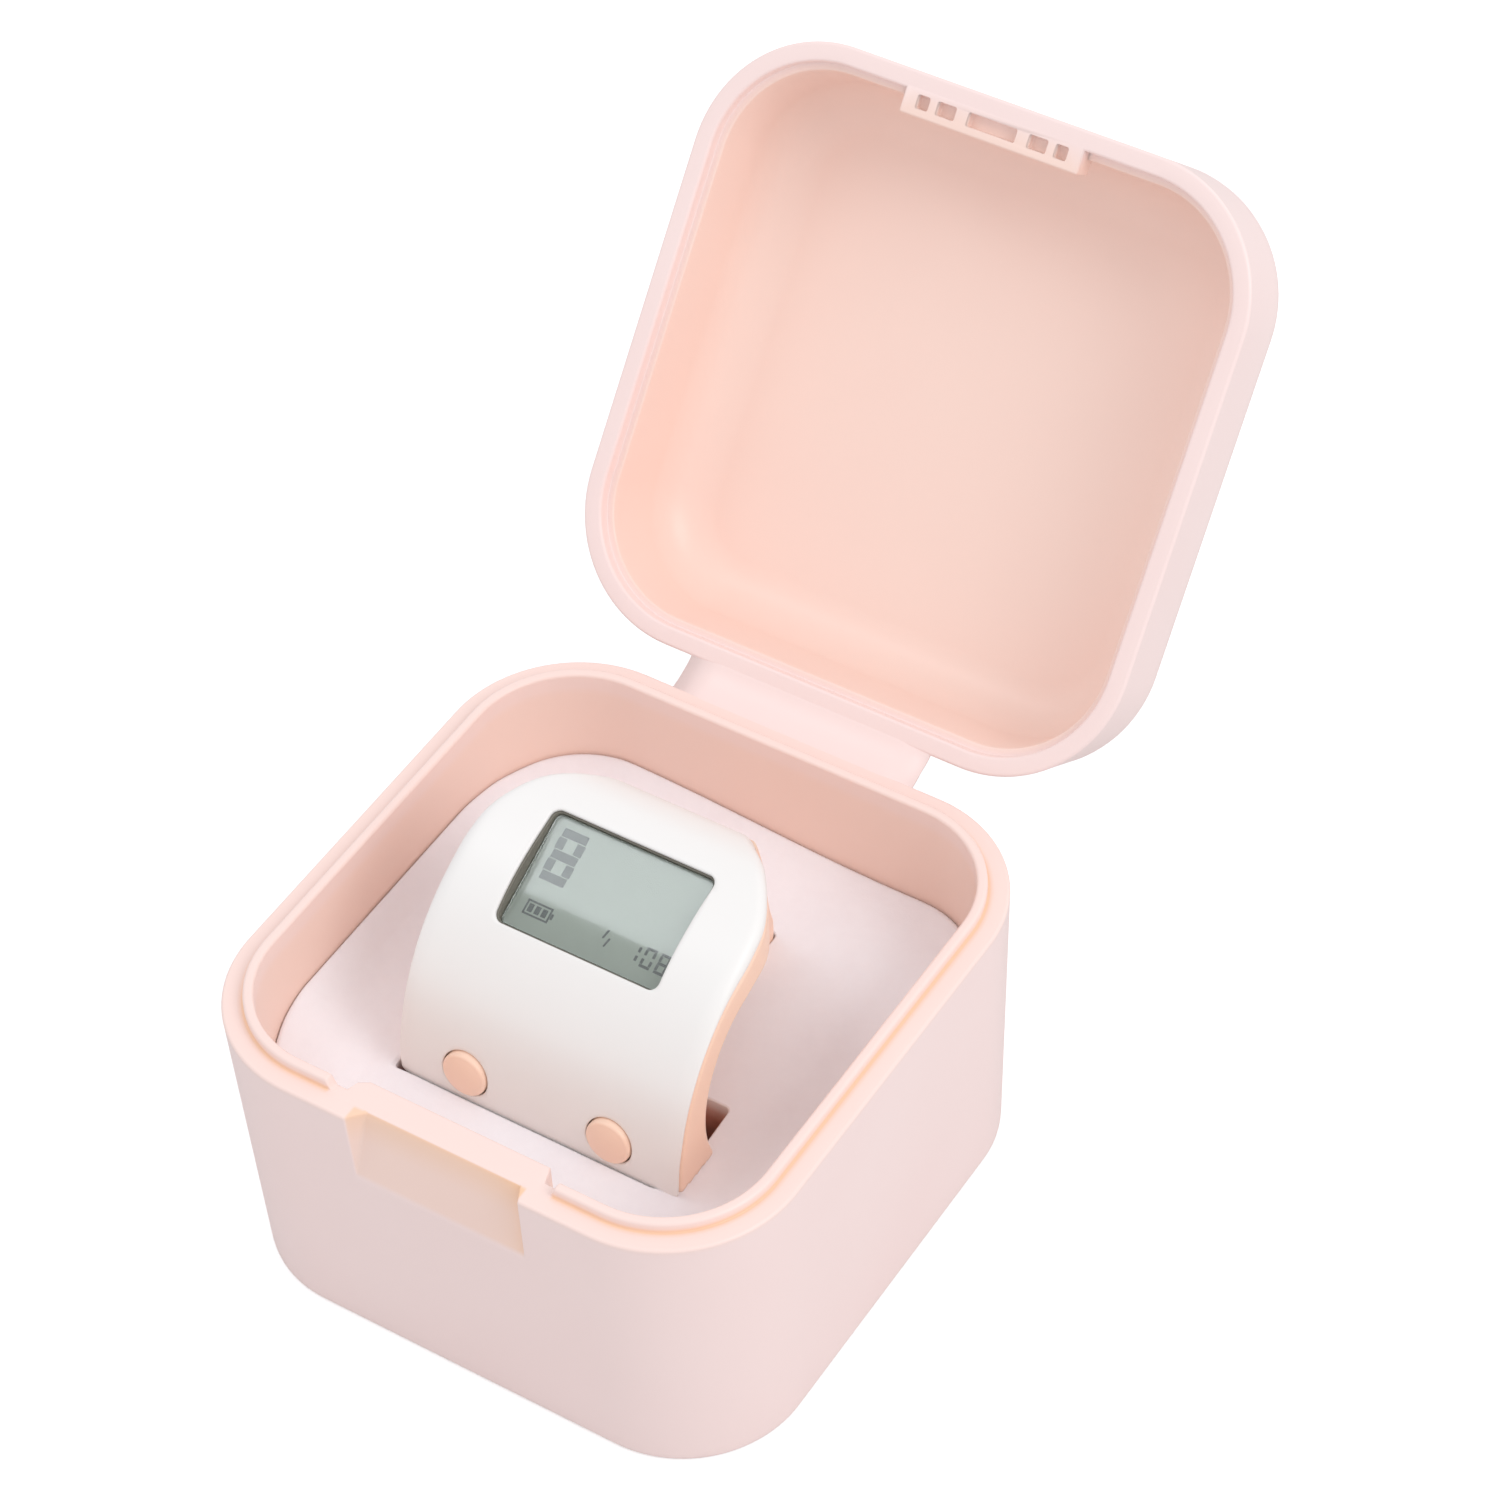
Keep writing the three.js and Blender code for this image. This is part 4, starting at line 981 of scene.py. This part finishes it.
def flared_cutter(name, outline_at, height_at, ease, low, place):
    """A cutter whose sides flare out at the surface, so that the edge it leaves is rounded."""
    flare_end = 76
    levels = [[(u, v, low) for u, v in outline_at(0)]]
    for a in quarter(4, 0, flare_end):
        grow = ease * (1 - math.cos(a))
        levels.append([(u, v, height_at(u, v) - ease * (1 - math.sin(a))) for u, v in outline_at(grow)])
    grow = ease * (1 - math.cos(math.radians(flare_end))) + 0.1
    levels.append([(u, v, height_at(u, v) + 0.06) for u, v in outline_at(grow)])
    levels.append([(u, v, height_at(u, v) + 3) for u, v in outline_at(grow + 0.3)])
    points, faces = lofted(levels)
    return piece_of(name, points, faces, place)


window_wide, window_long, window_corner = 15.4, 10.4, 0.8
heights = {}


def window_height(u, v):
    key = round(v, 4)
    if key not in heights:
        heights[key] = face_height(v)
    return heights[key]


rebate_grow, lip_left = 0.72, 0.35
rebate_half, rebate_long = window_wide / 2 + rebate_grow, window_long / 2 + rebate_grow
rebate_points, rebate_faces = lofted([
    [(-rebate_half, v, -3.5), (rebate_half, v, -3.5),
     (rebate_half, v, window_height(0, v) - lip_left), (-rebate_half, v, window_height(0, v) - lip_left)]
    for v in np.linspace(-rebate_long, rebate_long, 30)])
cut(ring_cover, piece_of("rebate", rebate_points, rebate_faces, on_face))
window_ease, hole_ease = 0.22, 0.12


def window_outline(grow):
    return square_outline(window_wide, window_long, window_corner, 7, grow, 20)


cut(ring_cover, flared_cutter("window", window_outline, window_height, window_ease, -3.0, on_face))


def leg_height(v):
    """How far the leg's outside stands from the bore's axis, square to its face, at v along it."""
    local = np.array([tuple((Matrix.Rotation(-leg_tilt, 3, "X") @ Vector((0, y, z)))[1:])
                      for y, z in side_view])
    local = local[local[:, 1] > 8]
    order = np.argsort(local[:, 0])
    return float(np.interp(v, local[order, 0], local[order, 1]))


for side in (-1, 1):
    shift = Matrix.Translation(Vector((side * button_half_space, button_along, 0)) * MM)
    cut(ring_cover, flared_cutter("hole", lambda g: circle(button_radius + button_clear + g),
                                  lambda u, v: leg_height(v + button_along), hole_ease, 10, on_leg @ shift))
even_shading(ring_cover)
cover_white = moulded_plastic("warm_white_plastic", (243, 241, 239), (241, 239, 236), 0.36)
ring_cover.data.materials.append(cover_white)
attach(ring_cover, "ring")
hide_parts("ring_cover")

# Buttons. Two domed caps in the peach plastic, each with a flange behind the cover that keeps it
# in and a stem over its switch.
def turned(name, profile, place, count=48):
    """A body turned about its own upright axis from (radius, height) pairs."""
    points, faces, rows = [], [], len(profile) - 2
    points.append((0, 0, profile[0][1]))
    points.append((0, 0, profile[-1][1]))
    for r, h in profile[1:-1]:
        points += [(x, y, h) for x, y in circle(r, count)]
    for i in range(count):
        j = (i + 1) % count
        faces.append((0, 2 + j, 2 + i))
        faces.append((1, 2 + (rows - 1) * count + i, 2 + (rows - 1) * count + j))
        for k in range(rows - 1):
            a = 2 + k * count
            faces.append((a + i, a + j, a + count + j, a + count + i))
    return piece_of(name, points, faces, place)


button_proud, button_crown, skin, flange, flange_thick = 0.35, 0.25, 0.55, 0.45, 0.4
cap_rim = leg_face + button_proud
flange_top = leg_face - skin - 0.15
stem_radius, stem_end = 0.8, 12.3
cap_round, crown_foot = 0.3, 0.05
round_foot = cap_rim - crown_foot - cap_round
cap_profile = [(0, stem_end), (stem_radius - 0.05, stem_end), (stem_radius, stem_end + 0.05),
               (stem_radius, flange_top - flange_thick),
               (button_radius + flange, flange_top - flange_thick), (button_radius + flange, flange_top),
               (button_radius, flange_top), (button_radius, round_foot)]
cap_profile += [(button_radius - cap_round * (1 - math.cos(a)), round_foot + cap_round * math.sin(a))
                for a in quarter(5)][1:]
crown_radius, crown_high = button_radius - cap_round, button_crown + crown_foot
cap_profile += [(r, cap_rim - crown_foot + crown_high * (1 - (r / crown_radius) ** 2))
                for r in (1.5, 1.2, 0.9, 0.6, 0.3)]
cap_profile.append((0, cap_rim + button_crown))
for word, side in (("left", -1), ("right", 1)):
    shift = Matrix.Translation(Vector((side * button_half_space, button_along, 0)) * MM)
    cap = turned("cap_" + word, cap_profile, on_leg @ shift)
    even_shading(cap)
    cap.data.materials.append(peach)
    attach(cap, word + "_button")
    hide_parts("button_" + word)

# Display. A liquid crystal panel behind a clear window. Walls of warm grey foam stand round the
# window's edge and keep out dust and stray light.
lens_top, lens_thick, glass_top, glass_thick = -0.75, 0.5, -1.37, 0.8
foam_in, foam_out, foam_low, foam_drop = -0.12, 0.6, glass_top + 0.08, 0.43


def foam_top(x, y):
    """The foam stops a little under the cover's outside."""
    return window_height(x, y) - foam_drop


inner_ring, outer_ring = window_outline(foam_in), window_outline(foam_out)
levels = [[(x, y, foam_low) for x, y in outer_ring], [(x, y, foam_top(x, y)) for x, y in outer_ring],
          [(x, y, foam_top(x, y)) for x, y in inner_ring], [(x, y, foam_low) for x, y in inner_ring]]
count = len(inner_ring)
gasket_points, gasket_faces = [p for level in levels for p in level], []
for k in range(4):
    for i in range(count):
        j = (i + 1) % count
        a, b = k * count, ((k + 1) % 4) * count
        gasket_faces.append((a + i, a + j, b + j, b + i))


def ease_edges(piece, width):
    """Rounds the piece's sharp edges by a width in millimetres."""
    step = piece.modifiers.new("ease", "BEVEL")
    step.width, step.segments = width * MM, 2
    step.limit_method, step.angle_limit = "ANGLE", math.radians(60)
    baked(piece)


gasket = piece_of("window_foam", gasket_points, gasket_faces, on_face)
ease_edges(gasket, 0.05)
even_shading(gasket)


def plain_material(name, colour, roughness, metallic=0.0, scale=3000.0, depth=0.01, spread=0.12,
                   waver=0.08):
    """A material with a fine uneven surface: colour and roughness vary a little, with a bump."""
    material, tree, shader = blank_material(name)
    place = add(tree, "ShaderNodeNewGeometry")
    noise = add(tree, "ShaderNodeTexNoise", Scale=scale, Detail=4.0, Roughness=0.6)
    tone = add(tree, "ShaderNodeMix", data_type="RGBA")
    tone.inputs["A"].default_value = srgb(*colour)
    tone.inputs["B"].default_value = srgb(*[c * (1 - spread) for c in colour])
    rough = add(tree, "ShaderNodeMapRange", To_Min=max(roughness - waver, 0.0),
                To_Max=min(roughness + waver, 1.0))
    bump = add(tree, "ShaderNodeBump", Strength=0.3 if depth else 0.0, Distance=max(depth, 0.001) * MM)
    tree.links.new(place.outputs["Position"], noise.inputs["Vector"])
    tree.links.new(noise.outputs["Fac"], tone.inputs["Factor"])
    tree.links.new(noise.outputs["Fac"], rough.inputs["Value"])
    tree.links.new(noise.outputs["Fac"], bump.inputs["Height"])
    tree.links.new(tone.outputs["Result"], shader.inputs["Base Color"])
    tree.links.new(rough.outputs["Result"], shader.inputs["Roughness"])
    tree.links.new(bump.outputs["Normal"], shader.inputs["Normal"])
    shader.inputs["Metallic"].default_value = metallic
    return material


gasket.data.materials.append(plain_material("dark_foam", (134, 130, 119), 0.6, scale=4000.0, depth=0.02))
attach(gasket, "ring")
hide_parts("display_gasket")

pane_gap = 0.24
pane_outline = square_outline(window_wide, window_long, window_corner, 7, -pane_gap)
window_glass = level_prism("window_pane", pane_outline, lens_top - lens_thick, lens_top, on_face)
ease_edges(window_glass, 0.06)
flat_faces(window_glass, least=50)
clear, tree, shader = blank_material("clear_window")
place = add(tree, "ShaderNodeNewGeometry")
streaks = add(tree, "ShaderNodeTexNoise", Scale=60.0, Detail=1.0, Roughness=0.5)
haze = add(tree, "ShaderNodeMapRange", To_Min=0.0, To_Max=0.03)
tree.links.new(place.outputs["Position"], streaks.inputs["Vector"])
tree.links.new(streaks.outputs["Fac"], haze.inputs["Value"])
tree.links.new(haze.outputs["Result"], shader.inputs["Roughness"])
shader.inputs["Base Color"].default_value = (0.94, 0.97, 0.96, 1)
shader.inputs["Transmission Weight"].default_value = 1.0
shader.inputs["IOR"].default_value = 1.5
window_glass.data.materials.append(clear)
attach(window_glass, "ring")
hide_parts("display_lens")

glass_wide, glass_long = 17, 11
panel = level_prism("crystal_panel", square_outline(glass_wide, glass_long, 0.25, 4),
                    glass_top - glass_thick, glass_top, on_face)
ease_edges(panel, 0.08)
flat_faces(panel, least=50)
panel.data.materials.append(plain_material("display_grey", (180, 189, 179), 0.03, scale=150.0, depth=0.0,
                                           spread=0.05, waver=0.03))
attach(panel, "ring")
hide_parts("display_panel")

# Figures of the display. Thin dark films on the panel, which the works below it switch on: a
# large digit, three small ones, a cell sign and two small strokes.
figure_points, figure_faces = [], []
film_thick = 0.02
lit_bars = {"0": "abcdef", "1": "bc", "8": "abcdefg"}


def film_bar(x0, x1, y0, y1, lean=0.0):
    """One dark bar of the display, lying on the panel."""
    first = len(figure_points)
    for z in (glass_top, glass_top + film_thick):
        figure_points.extend([(x0, y0, z), (x1, y0, z), (x1 + lean, y1, z), (x0 + lean, y1, z)])
    figure_faces.extend([tuple(first + i for i in face) for face in (
        (0, 3, 2, 1), (4, 5, 6, 7), (0, 1, 5, 4), (1, 2, 6, 5), (2, 3, 7, 6), (3, 0, 4, 7))])


def film_digit(figure, x, y, wide, high, bar):
    """A digit of up to seven bars, about its middle."""
    left, right, low, top, gap = x - wide / 2, x + wide / 2, y - high / 2, y + high / 2, 0.12 * bar
    bars = {
        "a": (left + gap, right - gap, top - bar, top),
        "g": (left + gap, right - gap, y - bar / 2, y + bar / 2),
        "d": (left + gap, right - gap, low, low + bar),
        "f": (left, left + bar, y + bar / 2 + gap, top - bar - gap),
        "b": (right - bar, right, y + bar / 2 + gap, top - bar - gap),
        "e": (left, left + bar, low + bar + gap, y - bar / 2 - gap),
        "c": (right - bar, right, low + bar + gap, y - bar / 2 - gap),
    }
    for name in lit_bars[figure]:
        film_bar(*bars[name])


film_digit("8", x=-5.3, y=1.9, wide=2.5, high=4.6, bar=0.75)
small_from, small_space = 3.95, 1.35
for place, figure in enumerate("108"):
    film_digit(figure, x=small_from + small_space * place, y=-2.75, wide=1.0, high=1.75, bar=0.24)
cell_left, cell_right, cell_low, cell_top, line = -6.3, -3.9, -3.55, -2.25, 0.16
film_bar(cell_left, cell_right, cell_low, cell_low + line)
film_bar(cell_left, cell_right, cell_top - line, cell_top)
film_bar(cell_left, cell_left + line, cell_low + line, cell_top - line)
film_bar(cell_right - line, cell_right, cell_low + line, cell_top - line)
film_bar(cell_right + 0.03, cell_right + 0.25, cell_low + 0.4, cell_top - 0.4)
for k in range(3):
    film_bar(cell_left + 0.3 + 0.65 * k, cell_left + 0.75 + 0.65 * k, cell_low + 0.3, cell_top - 0.3)
film_bar(0.9, 1.08, -2.75, -1.95, lean=0.18)
film_bar(1.3, 1.48, -3.35, -2.55, lean=0.18)
figures = piece_of("display_figures", figure_points, figure_faces, on_face)
figures.data.polygons.foreach_set("use_smooth", [False] * len(figures.data.polygons))
figures.data.materials.append(plain_material("dark_figures", (80, 88, 88), 0.12, scale=900.0, depth=0.0,
                                             waver=0.05))
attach(figures, "ring")

# Works inside the ring. Boards, cell, motor, switches and screws are bought parts, soldered or
# pressed in place before the cover is clipped on. They keep their plain shapes here.
solder_mask = plain_material("solder_mask_green", (28, 88, 60), 0.4, scale=1600.0)
chip_resin = plain_material("black_resin", (34, 34, 36), 0.5)
nickel = plain_material("nickel_steel", (196, 198, 202), 0.36, 1.0, waver=0.05)
amber = plain_material("amber_film", (186, 122, 48), 0.38, scale=1200.0)
inside_finish = {
    "main_board": solder_mask, "button_board": solder_mask,
    "controller_chip": chip_resin, "switch_left": chip_resin, "switch_right": chip_resin,
    "clock_crystal": nickel, "board_screw_left": nickel, "board_screw_right": nickel,
    "vibration_motor_can": nickel, "display_ribbon": amber, "board_link": amber,
    "vibration_motor_rotor": plain_material("sintered_tungsten", (122, 124, 128), 0.45, 1.0),
    "display_reflector": plain_material("silver_film", (204, 208, 204), 0.36, 0.6, waver=0.05),
    "battery": plain_material("pouch_foil", (176, 180, 186), 0.36, 0.8, scale=500.0, depth=0.03),
}
for node, finish in inside_finish.items():
    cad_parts[node].data.materials[0] = finish

# Charging contacts. Two brass pins turned with domed ends and plated with gold, pressed into the
# wall of the bore so that they stand just inside it.
gold = plain_material("gold_plated_brass", (226, 188, 112), 0.2, 1.0, waver=0.05)
pin_tip, pin_root = 9.17, 9.85
for word, side in (("left", -1), ("right", 1)):
    profile = [(0, pin_tip), (0.35, pin_tip + 0.015), (0.6, pin_tip + 0.06), (0.75, pin_tip + 0.14),
               (pin_radius, pin_tip + 0.25), (pin_radius, pin_root), (0, pin_root)]
    shift = Matrix.Translation(Vector((side * pin_half_space, 0, 0)) * MM)
    pin = turned("contact_" + word, profile, on_leg @ shift, count=32)
    even_shading(pin)
    pin.data.materials.append(gold)
    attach(pin, "ring")
    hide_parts("charge_pin_" + word)

# Stage. A plain pale floor under a white studio, with a soft key lamp high on the right and a
# small card overhead, which the display mirrors.
floor_reach = 1500
floor = piece_of("floor", [(-floor_reach, -floor_reach, 0), (floor_reach, -floor_reach, 0),
                           (floor_reach, floor_reach, 0), (-floor_reach, floor_reach, 0)], [(0, 1, 2, 3)])
floor.location.z = -0.02 * MM
material, tree, shader = blank_material("studio_white")
shader.inputs["Base Color"].default_value = (0.7, 0.7, 0.7, 1)
shader.inputs["Roughness"].default_value = 0.9
shader.inputs["Specular IOR Level"].default_value = 0.0
path = add(tree, "ShaderNodeLightPath")
seen = add(tree, "ShaderNodeMath", operation="MULTIPLY")
seen.inputs[1].default_value = 0.5
tree.links.new(path.outputs["Is Camera Ray"], seen.inputs[0])
tree.links.new(seen.outputs["Value"], shader.inputs["Emission Strength"])
shader.inputs["Emission Color"].default_value = (1, 1, 1, 1)
floor.data.materials.append(material)

world = bpy.data.worlds.new("studio")
bpy.context.scene.world = world
world.use_nodes = True
tree = world.node_tree
ambient = tree.nodes["Background"]
ambient.inputs["Color"].default_value = (0.98, 0.98, 1.0, 1)
ambient.inputs["Strength"].default_value = 0.875
white = tree.nodes.new("ShaderNodeBackground")
white.inputs["Color"].default_value = (1, 1, 1, 1)
choose = tree.nodes.new("ShaderNodeMixShader")
path = tree.nodes.new("ShaderNodeLightPath")
either = add(tree, "ShaderNodeMath", operation="MAXIMUM")
any_of = add(tree, "ShaderNodeMath", operation="MAXIMUM")
tree.links.new(path.outputs["Is Camera Ray"], either.inputs[0])
tree.links.new(path.outputs["Is Glossy Ray"], either.inputs[1])
tree.links.new(either.outputs["Value"], any_of.inputs[0])
tree.links.new(path.outputs["Is Transmission Ray"], any_of.inputs[1])
tree.links.new(any_of.outputs["Value"], choose.inputs["Fac"])
tree.links.new(ambient.outputs["Background"], choose.inputs[1])
tree.links.new(white.outputs["Background"], choose.inputs[2])
tree.links.new(choose.outputs["Shader"], tree.nodes["World Output"].inputs["Surface"])


def soft_lamp(name, at, aim_at, wide, high, radiance, colour=(1, 1, 1)):
    """A lit rectangle of so many metres, as bright as its radiance says whatever its size."""
    lamp = bpy.data.lights.new(name, "AREA")
    lamp.shape, lamp.size, lamp.size_y = "RECTANGLE", wide, high
    lamp.energy = radiance * math.pi * wide * high
    lamp.color = colour
    holder = bpy.data.objects.new(name, lamp)
    holder.location = at
    holder.rotation_euler = (Vector(aim_at) - Vector(at)).to_track_quat("-Z", "Y").to_euler()
    bpy.context.scene.collection.objects.link(holder)


soft_lamp("key_from_right", (0.75, -0.02, 0.72), (0, 0, 0.02), wide=0.5, high=0.5, radiance=3.3)
soft_lamp("overhead_card", (-0.25, -0.06, 0.575), (-0.25, -0.06, 0), wide=0.22, high=0.16,
          radiance=2.3, colour=(0.92, 0.96, 1.0))

bpy.context.scene.view_settings.view_transform = "Standard"
